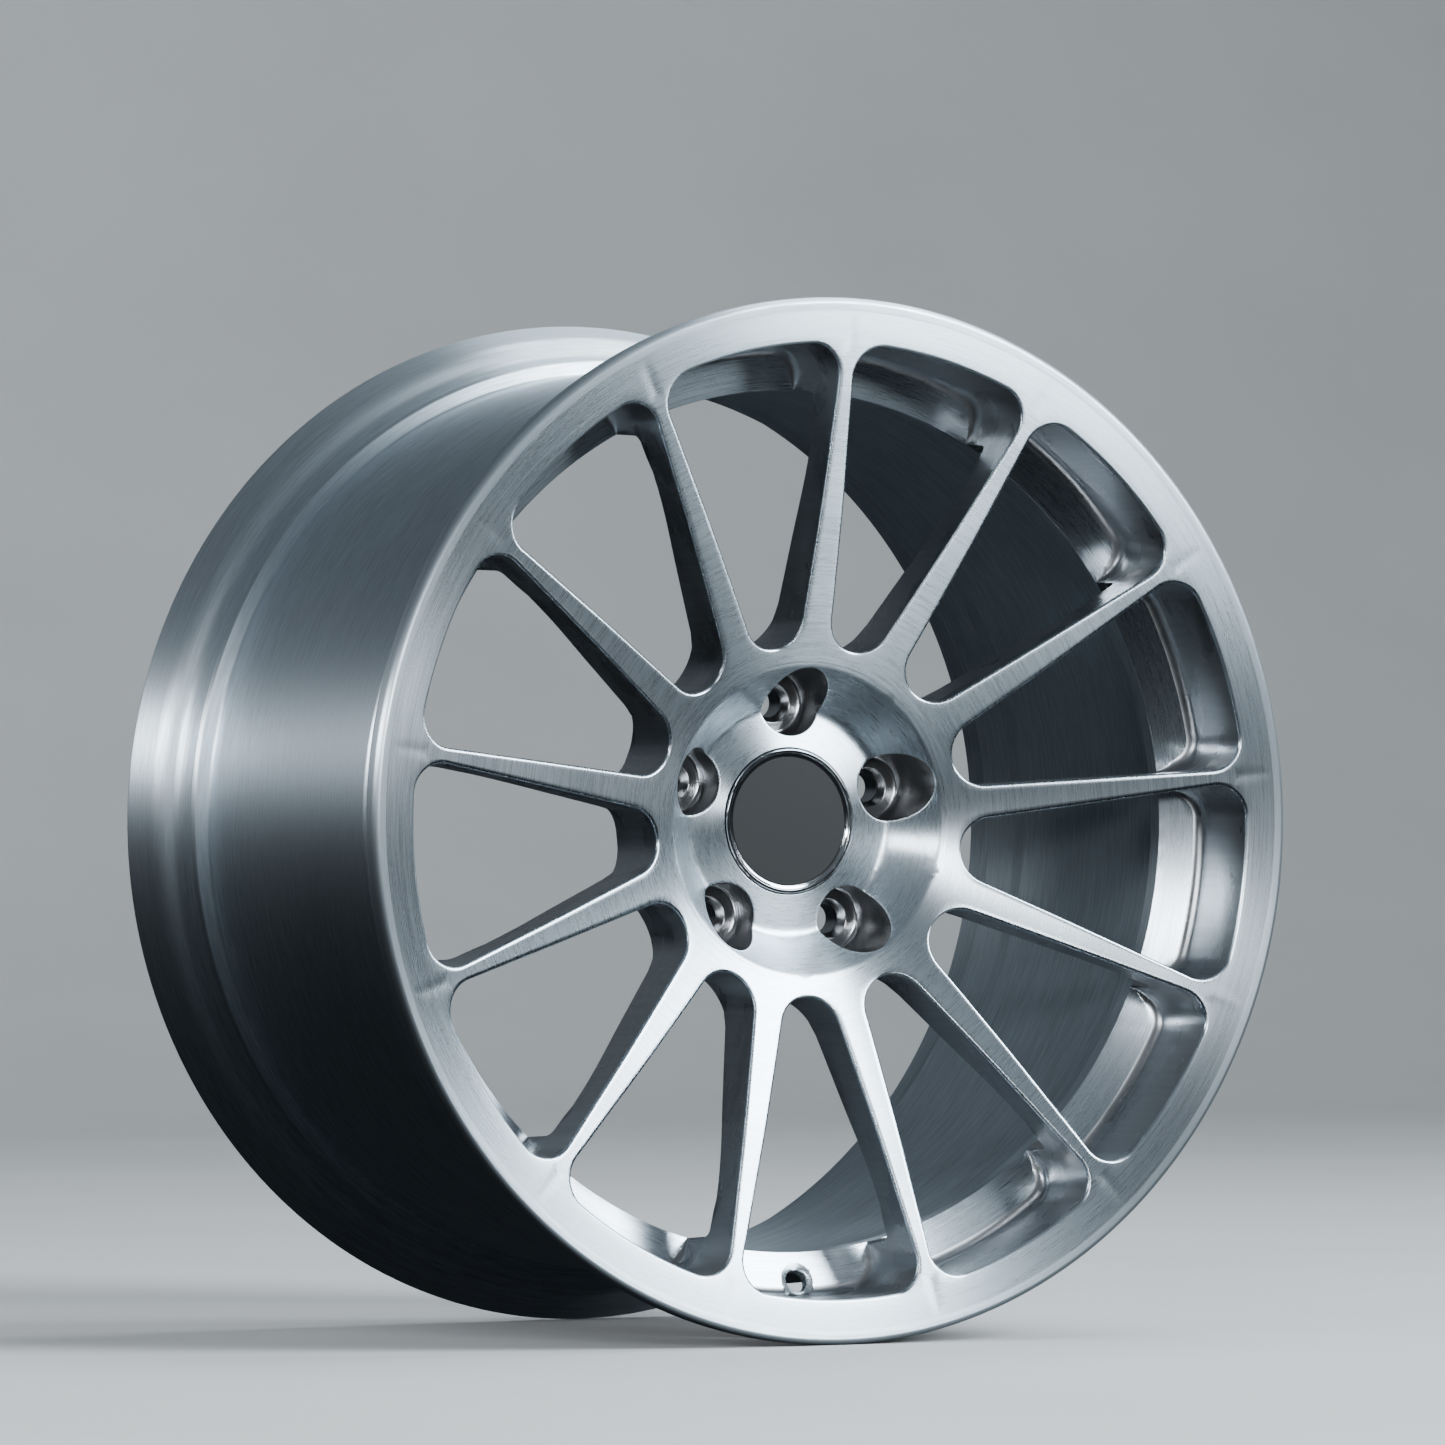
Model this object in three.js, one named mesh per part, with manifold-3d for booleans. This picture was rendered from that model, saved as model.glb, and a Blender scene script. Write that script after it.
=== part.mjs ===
// A forged racing wheel: one-piece forging with thirteen straight spokes, and a snap-in centre cap.
// Millimetres, +Z up. The wheel stands upright with its axis along Y and its outer face towards -Y.
// The origin is on the axis, halfway between the outer face and the rear flange.
//
// Shapes are drawn in two numbers: a radius from the axis, and a depth behind the plane of the
// outer face. The forging is one piece of metal; here its regions are separate solids with a
// small gap between neighbours.
import * as THREE from "three";
import { mergeVertices } from "three/addons/utils/BufferGeometryUtils.js";
import Module from "manifold-3d";

// Driving dimensions.
const RIM_RADIUS = 261; // over the flanges: a 19 inch rim
const RIM_WIDTH = 283.6; // over the flanges
const SPOKE_COUNT = 13;
const LUG_COUNT = 5;
const PITCH_CIRCLE_RADIUS = 60;
const HUB_BORE_RADIUS = 36.3;
const ROLL = THREE.MathUtils.degToRad(1.2); // the wheel stands rolled this far from a spoke straight up
const GAP = 0.3; // between solids that are one metal, or that touch

// Outer face, from the rim's edge in to the edge of the dish round the hub: radius, depth.
const FACE = [
  [RIM_RADIUS, 0],
  [238, 2],
  [192, 9.6],
  [131, 21.9],
  [77.7, 35.3],
];
const DISH_SLOPE = 1.1; // drop for each millimetre inwards, down the cone inside the dish's edge

// Windows between the spokes.
const WINDOW_RADIUS = 238.3; // the windows' outer wall
const WINDOW_INNER_RADIUS = 88.3; // the nearest that a window comes to the axis
const WINDOW_CORNER = 15.9;
const WINDOW_END_ARC = 16.9;
const SPOKE_HALF_WIDTH = 3.3; // at the window's outer wall
const SPOKE_TAPER = 0.037; // gain in half width for each millimetre towards the hub
const SPOKE_ROOT_RADIUS = 105.5;
// Rear faces of the spokes, from the hub out: radius, depth.
const SPOKE_BACK = [
  [SPOKE_ROOT_RADIUS, 59],
  [144, 46.2],
  [181, 33.8],
  [212, 27.6],
];

// Rim section.
const FLANGE_EDGE = 2; // rounding of the outer edge
const FRONT_FLANGE_DEPTH = 18.7; // the flange's tyre side
const FLANGE_CURVE = 9.5;
const BEAD_FILLET = 6.5;
const BEAD_SEAT_RADIUS = 243.7;
const HUMP_HEIGHT = 1.2; // of the ridge that keeps the tyre's bead on its seat
const HUMP_WIDTH = 4;
const HUMP_DEPTH = 43;
const WELL_LIP_RADIUS = 240.7; // the outer edge of the well's front wall
const WELL_LIP_DEPTH = 49;
const WELL_FLOOR_RADIUS = 223;
const WELL_FLOOR_START = 57.5;
const WELL_FLOOR_END = 61;
const WELL_INNER_RADIUS = 216.9;
const WINDOW_WALL_DEPTH = 44.4; // where the windows' outer wall turns in to the well
const WELL_CREASE_DEPTH = 51.9;
const WEB_TOP_DEPTH = 32.4; // where the spokes' rear faces turn back to the well
const WELL_END_DEPTH = 67;
const BARREL_RADIUS = 233.5;
const BARREL_INNER_RADIUS = 226.5;
const BARREL_END_RADIUS = 228; // inner radius at the rear step
const REAR_STEP_DEPTH = 243;
const REAR_FLANGE_DEPTH = 260; // the rear flange's tyre side
const REAR_LIP_RADIUS = 6;
const REAR_MOUTH_RADIUS = 238.8;
const REAR_MOUTH_DEPTH = 254;
const VALVE_HOLE_RADIUS = 5.75;
const VALVE_CENTRE_RADIUS = 230.6;
const VALVE_SPOT_FACE_RADIUS = 9;
const VALVE_SPOT_FACE_CUT = 0.6;

// Hub centre.
const DISH_EDGE_RADIUS = 77.7;
const DISH_EDGE_BEVEL = 2;
const FLOOR_RADIUS = 57.5;
const FLOOR_DEPTH = 57.5;
const FLOOR_INNER_DEPTH = 55.2;
const PAD_DEPTH = 92.2; // the face that bolts to the car's hub
const PAD_RADIUS = 77;
const BORE_CHAMFER = 1.5;
const WINDOW_END_DEPTH = 75.6;
const LUG_POCKET_RADIUS = 17;
const LUG_POCKET_DEPTH = 75.2;
const LUG_POCKET_FILLET = 2.6;
const LUG_SEAT_RADIUS = 10; // mouth of the 60 degree cone
const LUG_HOLE_RADIUS = 7.4;

// Centre cap.
const CAP_RADIUS = 36.4;
const CAP_DEPTH = 54.3; // the front of the trim ring
const CAP_RECESS_RADIUS = CAP_RADIUS + GAP;
const CAP_RECESS_DEPTH = 58.6;
const CAP_FLANGE = 1.2; // thickness of the cap body's flange
const CAP_FACE_RADIUS = 30.8;
const CAP_FACE_DEPTH = CAP_DEPTH + 1.2;
const TRIM_LIP = 1.3; // width of the trim ring's flat lip
const TRIM_EDGE = 0.5;
const CLIP_BORE_RADIUS = 32;
const CLIP_BORE_END = 71;
const CLIP_TUBE_RADIUS = 31.2;
const CLIP_BARB_RADIUS = 31.8;
const CLIP_TUBE_BORE = 29.4;
const CLIP_TUBE_END = 70;
const CLIP_SLOTS = 8;
const CLIP_SLOT_WIDTH = 5;
const SPRING_WIRE_RADIUS = 0.8;

// Fineness of round shapes.
const WHEEL_SEGMENTS = 4 * SPOKE_COUNT;
const HOLE_SEGMENTS = 18;

const PITCH = (2 * Math.PI) / SPOKE_COUNT;
// Turns about the axis start at +X and go clockwise as seen from the outer face.
const FIRST_SPOKE = -Math.PI / 2 + ROLL;

const wasm = await Module();
wasm.setup();

function material(colour, roughness, metalness) {
  return new THREE.MeshStandardMaterial({ color: colour, roughness, metalness });
}

const FORGING_METAL = material(0xa7acb3, 0.36, 1);
const BRIGHT_METAL = material(0xd9dce0, 0.12, 1);
const CAP_PLASTIC = material(0x303236, 0.45, 0);
const CAP_FACE_PAINT = material(0x4a4a4c, 0.4, 0.2);
const SPRING_STEEL = material(0x8a8c8f, 0.3, 1);

// --- Solids -------------------------------------------------------------------------------------

function solidOf(geometry) {
  const bare = geometry.clone();
  bare.deleteAttribute("normal");
  bare.deleteAttribute("uv");
  const merged = mergeVertices(bare, 1e-4);
  return new wasm.Manifold(
    new wasm.Mesh({
      numProp: 3,
      vertProperties: merged.attributes.position.array,
      triVerts: new Uint32Array(merged.index.array),
    }),
  );
}

function geometryOf(solid) {
  const mesh = solid.getMesh();
  const geometry = new THREE.BufferGeometry();
  geometry.setAttribute("position", new THREE.BufferAttribute(mesh.vertProperties, mesh.numProp));
  geometry.setIndex(new THREE.BufferAttribute(mesh.triVerts, 1));
  const faceted = geometry.toNonIndexed();
  faceted.computeVertexNormals();
  return faceted;
}

// Points along an arc in the radius-depth plane, from one angle to another in degrees.
function arc(radius, depth, size, from, to, steps) {
  return Array.from({ length: steps + 1 }, (_, i) => {
    const angle = THREE.MathUtils.degToRad(from + ((to - from) * i) / steps);
    return [radius + size * Math.cos(angle), depth + size * Math.sin(angle)];
  });
}

// A radius-depth outline, revolved about the wheel's axis. It goes round from the front of its
// inner side, over its outer side, to its back, so that its faces look out. A ring's outline closes
// on itself; a solid's starts and ends on the axis. The middles of the flats lie on the true radius,
// and one flat faces straight down, so that the wheel stands on it.
function revolve(outline) {
  const isSolid = outline[0][0] === 0;
  const halfStep = Math.PI / WHEEL_SEGMENTS;
  const points = (isSolid ? outline : [...outline, outline[0]]).map(
    ([radius, depth]) => new THREE.Vector2(radius / Math.cos(halfStep), depth - RIM_WIDTH / 2),
  );
  return new THREE.LatheGeometry(points, WHEEL_SEGMENTS, halfStep);
}

// A lathe outline about an axis of its own, along Y at the origin.
function turned(outline, segments) {
  const points = outline.map(([radius, depth]) => new THREE.Vector2(radius, depth));
  return new THREE.LatheGeometry(points, segments);
}

function faceDepth(radius) {
  const outer = FACE.findIndex(([r], i) => radius <= r && radius >= FACE[i + 1][0]);
  return THREE.MathUtils.mapLinear(radius, FACE[outer][0], FACE[outer + 1][0], FACE[outer][1], FACE[outer + 1][1]);
}

// Depth of the ramp that runs from the windows' outer wall in to the well.
function rampDepth(radius) {
  return THREE.MathUtils.mapLinear(
    radius, WINDOW_RADIUS, WELL_INNER_RADIUS, WINDOW_WALL_DEPTH, WELL_CREASE_DEPTH);
}

// --- Forging: rim -------------------------------------------------------------------------------

function faceRing() {
  const back = FRONT_FLANGE_DEPTH;
  return revolve([
    [WINDOW_RADIUS, faceDepth(WINDOW_RADIUS)],
    [RIM_RADIUS - FLANGE_EDGE, 0],
    ...arc(RIM_RADIUS - FLANGE_EDGE, FLANGE_EDGE, FLANGE_EDGE, -60, 0, 2),
    ...arc(RIM_RADIUS - FLANGE_CURVE, back - FLANGE_CURVE, FLANGE_CURVE, 0, 90, 3),
    [WINDOW_RADIUS, back],
  ]);
}

function frontBeadSeat() {
  const front = FRONT_FLANGE_DEPTH + GAP;
  const seat = BEAD_SEAT_RADIUS - HUMP_HEIGHT;
  return revolve([
    [WINDOW_RADIUS, front],
    [BEAD_SEAT_RADIUS + BEAD_FILLET, front],
    ...arc(BEAD_SEAT_RADIUS + BEAD_FILLET, front + BEAD_FILLET, BEAD_FILLET, 240, 180, 2),
    [seat, HUMP_DEPTH - HUMP_WIDTH],
    [BEAD_SEAT_RADIUS, HUMP_DEPTH],
    [seat, WINDOW_WALL_DEPTH],
    [WINDOW_RADIUS, WINDOW_WALL_DEPTH],
  ]);
}

function dropCentre() {
  const ring = revolve([
    [WINDOW_RADIUS, WINDOW_WALL_DEPTH + GAP],
    [BEAD_SEAT_RADIUS - HUMP_HEIGHT, WINDOW_WALL_DEPTH + GAP],
    [WELL_LIP_RADIUS, WELL_LIP_DEPTH],
    [WELL_FLOOR_RADIUS, WELL_FLOOR_START],
    [WELL_FLOOR_RADIUS, WELL_FLOOR_END],
    [BARREL_RADIUS, WELL_END_DEPTH],
    [BARREL_INNER_RADIUS, WELL_END_DEPTH],
    [WELL_INNER_RADIUS, WELL_FLOOR_END],
    [WELL_INNER_RADIUS, WELL_CREASE_DEPTH + GAP],
  ]);
  return geometryOf(solidOf(ring).subtract(solidOf(valveHole())));
}

// Cutter for the valve hole: straight down from the axis, square to the ramp, with a flat spot face
// round its mouth.
function valveHole() {
  const ramp = new THREE.Vector2(WINDOW_RADIUS - WELL_INNER_RADIUS, WELL_CREASE_DEPTH - WINDOW_WALL_DEPTH);
  const halfLength = 20;
  const cutter = turned(
    [
      [0, -halfLength],
      [VALVE_SPOT_FACE_RADIUS, -halfLength],
      [VALVE_SPOT_FACE_RADIUS, VALVE_SPOT_FACE_CUT],
      [VALVE_HOLE_RADIUS, VALVE_SPOT_FACE_CUT],
      [VALVE_HOLE_RADIUS, halfLength],
      [0, halfLength],
    ],
    HOLE_SEGMENTS,
  );
  cutter.rotateX(-ramp.angle());
  cutter.translate(0, rampDepth(VALVE_CENTRE_RADIUS) - RIM_WIDTH / 2, -VALVE_CENTRE_RADIUS);
  return cutter;
}

function barrel() {
  return revolve([
    [BARREL_INNER_RADIUS, WELL_END_DEPTH + GAP],
    [BARREL_RADIUS, WELL_END_DEPTH + GAP],
    [BARREL_RADIUS, REAR_STEP_DEPTH - GAP],
    [BARREL_END_RADIUS, REAR_STEP_DEPTH - GAP],
  ]);
}

function rearFlange() {
  const seatFillet = BEAD_SEAT_RADIUS + BEAD_FILLET;
  return revolve([
    [BARREL_END_RADIUS, REAR_STEP_DEPTH],
    [BEAD_SEAT_RADIUS - HUMP_HEIGHT, REAR_STEP_DEPTH],
    ...arc(seatFillet, REAR_FLANGE_DEPTH - BEAD_FILLET, BEAD_FILLET, 180, 90, 2),
    ...arc(RIM_RADIUS - FLANGE_CURVE, REAR_FLANGE_DEPTH + FLANGE_CURVE, FLANGE_CURVE, -80, 0, 3),
    ...arc(RIM_RADIUS - REAR_LIP_RADIUS, RIM_WIDTH - REAR_LIP_RADIUS, REAR_LIP_RADIUS, 0, 90, 3),
    [REAR_MOUTH_RADIUS, RIM_WIDTH],
    [REAR_MOUTH_RADIUS, REAR_MOUTH_DEPTH],
  ]);
}

// --- Forging: spokes ----------------------------------------------------------------------------

// Plan outline of one spoke along +X, flared by the windows' corners where it meets the ring.
function spokePlan() {
  const slope = Math.hypot(1, SPOKE_TAPER);
  const reach = WINDOW_CORNER * slope + SPOKE_HALF_WIDTH + SPOKE_TAPER * WINDOW_RADIUS;
  // Centre of the corner: a corner's size from the spoke's side and from the outer wall.
  const wall = WINDOW_RADIUS - WINDOW_CORNER;
  const b = reach * SPOKE_TAPER;
  const x = (b + Math.sqrt(b * b - slope * slope * (reach * reach - wall * wall))) / (slope * slope);
  const y = reach - SPOKE_TAPER * x;
  const start = Math.atan2(-1, -SPOKE_TAPER);
  const end = Math.atan2(y, x) - THREE.MathUtils.degToRad(20); // stops short of a knife edge
  const root = SPOKE_ROOT_RADIUS + 2 * GAP;
  const rootHalf = SPOKE_HALF_WIDTH + SPOKE_TAPER * (WINDOW_RADIUS - root);
  const tip = WINDOW_RADIUS - GAP;
  const tipAngle = Math.atan2(y + WINDOW_CORNER * Math.sin(end), x + WINDOW_CORNER * Math.cos(end));
  const plan = new THREE.Shape();
  plan.moveTo(root, rootHalf);
  plan.lineTo(root, -rootHalf);
  plan.absarc(x, -y, WINDOW_CORNER, -start, -end, true);
  plan.absarc(0, 0, tip, -tipAngle, tipAngle, false);
  plan.absarc(x, y, WINDOW_CORNER, end, start, true);
  plan.closePath();
  return plan;
}

// Side outline of one spoke: its face, its rear edge, and the web that ties its outer end to the
// front wall of the well.
function spokeSide() {
  const root = SPOKE_ROOT_RADIUS;
  const outline = [
    [root, faceDepth(root)],
    ...FACE.filter(([r]) => r > root && r < WINDOW_RADIUS).reverse(),
    [WINDOW_RADIUS, faceDepth(WINDOW_RADIUS)],
    [WINDOW_RADIUS, WINDOW_WALL_DEPTH - GAP],
    [WELL_INNER_RADIUS, WELL_CREASE_DEPTH - GAP],
    [WELL_INNER_RADIUS, WEB_TOP_DEPTH],
    ...[...SPOKE_BACK].reverse(),
  ];
  return new THREE.Shape(outline.map(([r, d]) => new THREE.Vector2(r, d - RIM_WIDTH / 2)));
}

function spokeSolid() {
  const plan = new THREE.ExtrudeGeometry(spokePlan(), {
    depth: RIM_WIDTH, bevelEnabled: false, curveSegments: 5,
  });
  plan.rotateX(Math.PI / 2).translate(0, RIM_WIDTH / 2, 0);
  const side = new THREE.ExtrudeGeometry(spokeSide(), { depth: 60, bevelEnabled: false });
  side.translate(0, 0, -30);
  return solidOf(plan).intersect(solidOf(side));
}

// --- Forging: hub centre ------------------------------------------------------------------------

function hubBlank() {
  const edge = DISH_EDGE_RADIUS;
  const bevel = DISH_EDGE_BEVEL;
  return revolve([
    [HUB_BORE_RADIUS, PAD_DEPTH - BORE_CHAMFER],
    [HUB_BORE_RADIUS, CLIP_BORE_END],
    [CLIP_BORE_RADIUS, CLIP_BORE_END],
    [CLIP_BORE_RADIUS, CAP_RECESS_DEPTH],
    [CAP_RECESS_RADIUS, CAP_RECESS_DEPTH],
    [CAP_RECESS_RADIUS, FLOOR_INNER_DEPTH],
    [FLOOR_RADIUS, FLOOR_DEPTH],
    [edge - bevel, faceDepth(edge) + bevel * DISH_SLOPE],
    [edge + bevel, faceDepth(edge + bevel)],
    [SPOKE_ROOT_RADIUS, faceDepth(SPOKE_ROOT_RADIUS)],
    SPOKE_BACK[0],
    [WINDOW_INNER_RADIUS, WINDOW_END_DEPTH],
    [PAD_RADIUS, PAD_DEPTH],
    [HUB_BORE_RADIUS + BORE_CHAMFER, PAD_DEPTH],
  ]);
}

// Cutter for the round inner end of one window.
function windowEnd(angle) {
  const radius = WINDOW_INNER_RADIUS + WINDOW_END_ARC;
  const cutter = new THREE.CylinderGeometry(WINDOW_END_ARC, WINDOW_END_ARC, RIM_WIDTH, HOLE_SEGMENTS);
  cutter.translate(radius, 0, 0);
  cutter.rotateY(angle);
  return cutter;
}

// Cutter for one lug pocket: a round-cornered pocket, a conical seat and a through hole.
function lugPocket(angle) {
  const seatDepth = (LUG_SEAT_RADIUS - LUG_HOLE_RADIUS) * Math.sqrt(3);
  const fillet = arc(
    LUG_POCKET_RADIUS - LUG_POCKET_FILLET, LUG_POCKET_DEPTH - LUG_POCKET_FILLET, LUG_POCKET_FILLET, 0, 90, 3);
  const cutter = turned(
    [
      [0, 0],
      [LUG_POCKET_RADIUS, 0],
      ...fillet,
      [LUG_SEAT_RADIUS, LUG_POCKET_DEPTH],
      [LUG_HOLE_RADIUS, LUG_POCKET_DEPTH + seatDepth],
      [LUG_HOLE_RADIUS, PAD_DEPTH + 10],
      [0, PAD_DEPTH + 10],
    ],
    HOLE_SEGMENTS,
  );
  cutter.translate(PITCH_CIRCLE_RADIUS, -RIM_WIDTH / 2, 0);
  cutter.rotateY(angle);
  return cutter;
}

function hubCentre() {
  let hub = solidOf(hubBlank());
  for (let i = 0; i < SPOKE_COUNT; i++) {
    hub = hub.subtract(solidOf(windowEnd(FIRST_SPOKE + (i + 0.5) * PITCH)));
  }
  for (let i = 0; i < LUG_COUNT; i++) {
    hub = hub.subtract(solidOf(lugPocket(FIRST_SPOKE + (i * 2 * Math.PI) / LUG_COUNT)));
  }
  return geometryOf(hub);
}

// --- Centre cap ---------------------------------------------------------------------------------

const CAP_FLANGE_BACK = CAP_RECESS_DEPTH - GAP;
const TRIM_BACK = CAP_FLANGE_BACK - CAP_FLANGE - GAP;

// A cup with a thin flange behind the trim ring, and a tube slotted into clip fingers.
function capBody() {
  const flangeRadius = CAP_RADIUS - TRIM_EDGE;
  const cup = revolve([
    [0, CAP_FLANGE_BACK - CAP_FLANGE],
    [flangeRadius, CAP_FLANGE_BACK - CAP_FLANGE],
    [flangeRadius, CAP_FLANGE_BACK],
    [CLIP_TUBE_RADIUS, CAP_FLANGE_BACK],
    [CLIP_TUBE_RADIUS, CLIP_TUBE_END - 3],
    [CLIP_BARB_RADIUS, CLIP_TUBE_END - 1.5],
    [CLIP_TUBE_RADIUS, CLIP_TUBE_END],
    [CLIP_TUBE_BORE, CLIP_TUBE_END],
    [CLIP_TUBE_BORE, CAP_FLANGE_BACK + 1],
    [0, CAP_FLANGE_BACK + 1],
  ]);
  let body = solidOf(cup);
  const slotStart = CAP_FLANGE_BACK + 2;
  for (let i = 0; i < CLIP_SLOTS / 2; i++) {
    const slot = new THREE.BoxGeometry(CLIP_SLOT_WIDTH, 2 * (CLIP_TUBE_END - slotStart), 3 * CAP_RADIUS);
    slot.translate(0, CLIP_TUBE_END - RIM_WIDTH / 2, 0);
    slot.rotateY((i * 2 * Math.PI) / CLIP_SLOTS);
    body = body.subtract(solidOf(slot));
  }
  return geometryOf(body);
}

// The bright ring: a narrow flat lip, and a bevel that drops to the cap's face.
function capTrimRing() {
  const lip = CAP_RADIUS - TRIM_EDGE - TRIM_LIP;
  const bore = CAP_FACE_RADIUS + GAP;
  return revolve([
    [bore, CAP_FACE_DEPTH + GAP],
    [lip, CAP_DEPTH],
    [CAP_RADIUS - TRIM_EDGE, CAP_DEPTH],
    [CAP_RADIUS, CAP_DEPTH + TRIM_EDGE],
    [CAP_RADIUS, TRIM_BACK],
    [bore, TRIM_BACK],
  ]);
}

function capFace() {
  const plate = new THREE.CylinderGeometry(
    CAP_FACE_RADIUS, CAP_FACE_RADIUS, TRIM_BACK - CAP_FACE_DEPTH, WHEEL_SEGMENTS);
  plate.translate(0, (TRIM_BACK + CAP_FACE_DEPTH) / 2 - RIM_WIDTH / 2, 0);
  return plate;
}

// The round wire inside the clip fingers.
function capSpringRing() {
  const radius = CLIP_TUBE_BORE - SPRING_WIRE_RADIUS - GAP;
  const ring = new THREE.TorusGeometry(radius, SPRING_WIRE_RADIUS, 6, WHEEL_SEGMENTS);
  ring.rotateX(Math.PI / 2);
  ring.translate(0, CLIP_TUBE_END - 4 - RIM_WIDTH / 2, 0);
  return ring;
}

// --- Assembly -----------------------------------------------------------------------------------

const wheel = new THREE.Group();

function add(name, geometry, finish) {
  const mesh = new THREE.Mesh(geometry, finish);
  mesh.name = name;
  wheel.add(mesh);
  return mesh;
}

add("hub_centre", hubCentre(), FORGING_METAL);
const spokeGeometry = geometryOf(spokeSolid());
for (let i = 0; i < SPOKE_COUNT; i++) {
  const spoke = add("spoke_" + String(i + 1).padStart(2, "0"), spokeGeometry, FORGING_METAL);
  spoke.rotation.y = FIRST_SPOKE + i * PITCH;
}
add("face_ring", faceRing(), FORGING_METAL);
add("front_bead_seat", frontBeadSeat(), FORGING_METAL);
add("drop_centre", dropCentre(), FORGING_METAL);
add("barrel", barrel(), FORGING_METAL);
add("rear_flange", rearFlange(), FORGING_METAL);
add("cap_body", capBody(), CAP_PLASTIC);
add("cap_trim_ring", capTrimRing(), BRIGHT_METAL);
add("cap_face", capFace(), CAP_FACE_PAINT);
add("cap_spring_ring", capSpringRing(), SPRING_STEEL);

export default wheel;
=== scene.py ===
"""A forged racing wheel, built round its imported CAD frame.

The CAD splits the forging into regions; here one seamless forging stands for them, and the centre
cap gets finely made pieces. Shapes are drawn in millimetres, in three numbers: the radius from the
wheel's axis, the turn about it from +X (clockwise as seen from the outer face), and the depth
behind the plane of the outer face. Blender's objects are in metres.
"""
import math

import bmesh
import bpy
import numpy as np
from mathutils import Matrix, Vector


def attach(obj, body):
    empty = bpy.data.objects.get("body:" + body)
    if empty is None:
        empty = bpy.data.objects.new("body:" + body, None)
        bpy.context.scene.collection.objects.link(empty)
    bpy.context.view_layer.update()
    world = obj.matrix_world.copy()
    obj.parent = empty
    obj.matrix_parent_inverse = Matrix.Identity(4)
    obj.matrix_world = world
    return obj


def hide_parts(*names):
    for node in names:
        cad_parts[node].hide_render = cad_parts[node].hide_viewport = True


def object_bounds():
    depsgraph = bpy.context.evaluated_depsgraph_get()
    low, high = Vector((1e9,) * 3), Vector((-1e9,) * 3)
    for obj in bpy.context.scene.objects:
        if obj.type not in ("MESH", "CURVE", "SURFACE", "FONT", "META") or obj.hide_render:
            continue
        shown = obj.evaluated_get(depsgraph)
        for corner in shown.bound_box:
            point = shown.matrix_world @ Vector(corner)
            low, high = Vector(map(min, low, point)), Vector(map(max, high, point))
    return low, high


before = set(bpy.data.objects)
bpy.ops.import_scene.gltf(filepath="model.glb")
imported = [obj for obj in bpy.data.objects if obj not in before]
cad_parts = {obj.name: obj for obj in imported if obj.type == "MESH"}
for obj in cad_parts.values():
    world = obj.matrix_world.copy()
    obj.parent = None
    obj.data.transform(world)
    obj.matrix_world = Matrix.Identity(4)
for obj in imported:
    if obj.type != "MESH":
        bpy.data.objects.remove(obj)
CAD_LOW, CAD_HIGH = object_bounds()

MM = 0.001
FACE_Y = CAD_LOW.y / MM  # the plane of the outer face

# Wheel.
SPOKES = 13
LUGS = 5
RIM_RADIUS = CAD_HIGH.x / MM
RIM_WIDTH = (CAD_HIGH.y - CAD_LOW.y) / MM
ROLL = math.radians(1.2)
HALF_PITCH = math.pi / SPOKES
FIRST_SPOKE = ROLL - math.pi / 2

# Windows between the spokes.
WINDOW_RADIUS = 238.3
WINDOW_INNER_RADIUS = 88.3
WINDOW_MIDDLE = (WINDOW_RADIUS + WINDOW_INNER_RADIUS) / 2
WINDOW_CORNER = 15.9
SPOKE_HALF_WIDTH = 3.3  # at the windows' outer wall
SPOKE_TAPER = 0.037
FRONT_EDGE = 1.5
BACK_EDGE = 1.6
FLOOR_FILLET = 4.5
RAMP_TOP = 44.4
RAMP_END = 51.9
WELL_INNER_RADIUS = 216.9
WEB_FOOT = 215.2  # where the web's slope meets the rear of the spokes
WEB_FILLET = 4.0
WEB_REACH = 12.0  # how far inside the foot the web's outline runs on along the spokes
FILLET_FADE = 9.0  # the floor's fillet grows to its full size over this much of the radius
BACK_EDGE_FADE = 4.0

# Circles where the windows' sheets meet the turned rim and the hub's sheets.
FACE_OUTER = 254.0
FACE_INNER = 81.0
BACK_INNER = 79.0
HUB_FRONT_OUTER = 80.2
HUB_BACK_OUTER = 78.2

# Dish in the front of the hub.
DISH_FLOOR_INNER_DEPTH = 55.1
DISH_FLOOR_RADIUS = 57.5
DISH_FLOOR_DEPTH = 57.6
DISH_FLOOR_FILLET = 4.5
DISH_RADIUS = 77.4
DISH_DEPTH = 35.6
DISH_EDGE = 4.0
DISH_END = 79.9  # beyond this radius the face's own curve goes on

# Mounting pad.
PAD_DEPTH = 92.2

# Outer face: radius, depth.
FACE = (
    (261, 0.0), (238, 2.0), (217, 5.0), (192, 9.6), (161, 15.3),
    (131, 21.9), (106, 27.8), (77.7, 35.4), (60, 40.5),
)
# Rear of the spokes: radius, depth.
BACK = ((WEB_FOOT, 30.4), (197, 31.2), (181, 34.2), (144, 46.2), (105, 59.0))
# Rear of the hub: radius, depth, corner size.
HUB_BACK = ((105, 59.0), (WINDOW_INNER_RADIUS, 75.6, 5.0), (77, PAD_DEPTH, 2.0), (20, PAD_DEPTH))

# Lug pockets.
PITCH_CIRCLE = 60.0
POCKET_RADIUS = 17.0
POCKET_DEPTH = 75.2
POCKET_EDGE = 0.5
POCKET_FILLET = 2.6
SEAT_RADIUS = 10.0
LUG_HOLE_RADIUS = 7.4
HOLE_CHAMFER = 0.8

# Centre bore and cap.
RECESS_RADIUS = 36.75
RECESS_DEPTH = 58.6
RECESS_EDGE = 0.5
CLIP_BORE_RADIUS = 32.0
CLIP_BORE_END = 71.0
HUB_BORE_RADIUS = 36.3
BORE_CHAMFER = 1.5
CAP_RADIUS = 36.4
CAP_DEPTH = 54.3

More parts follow.
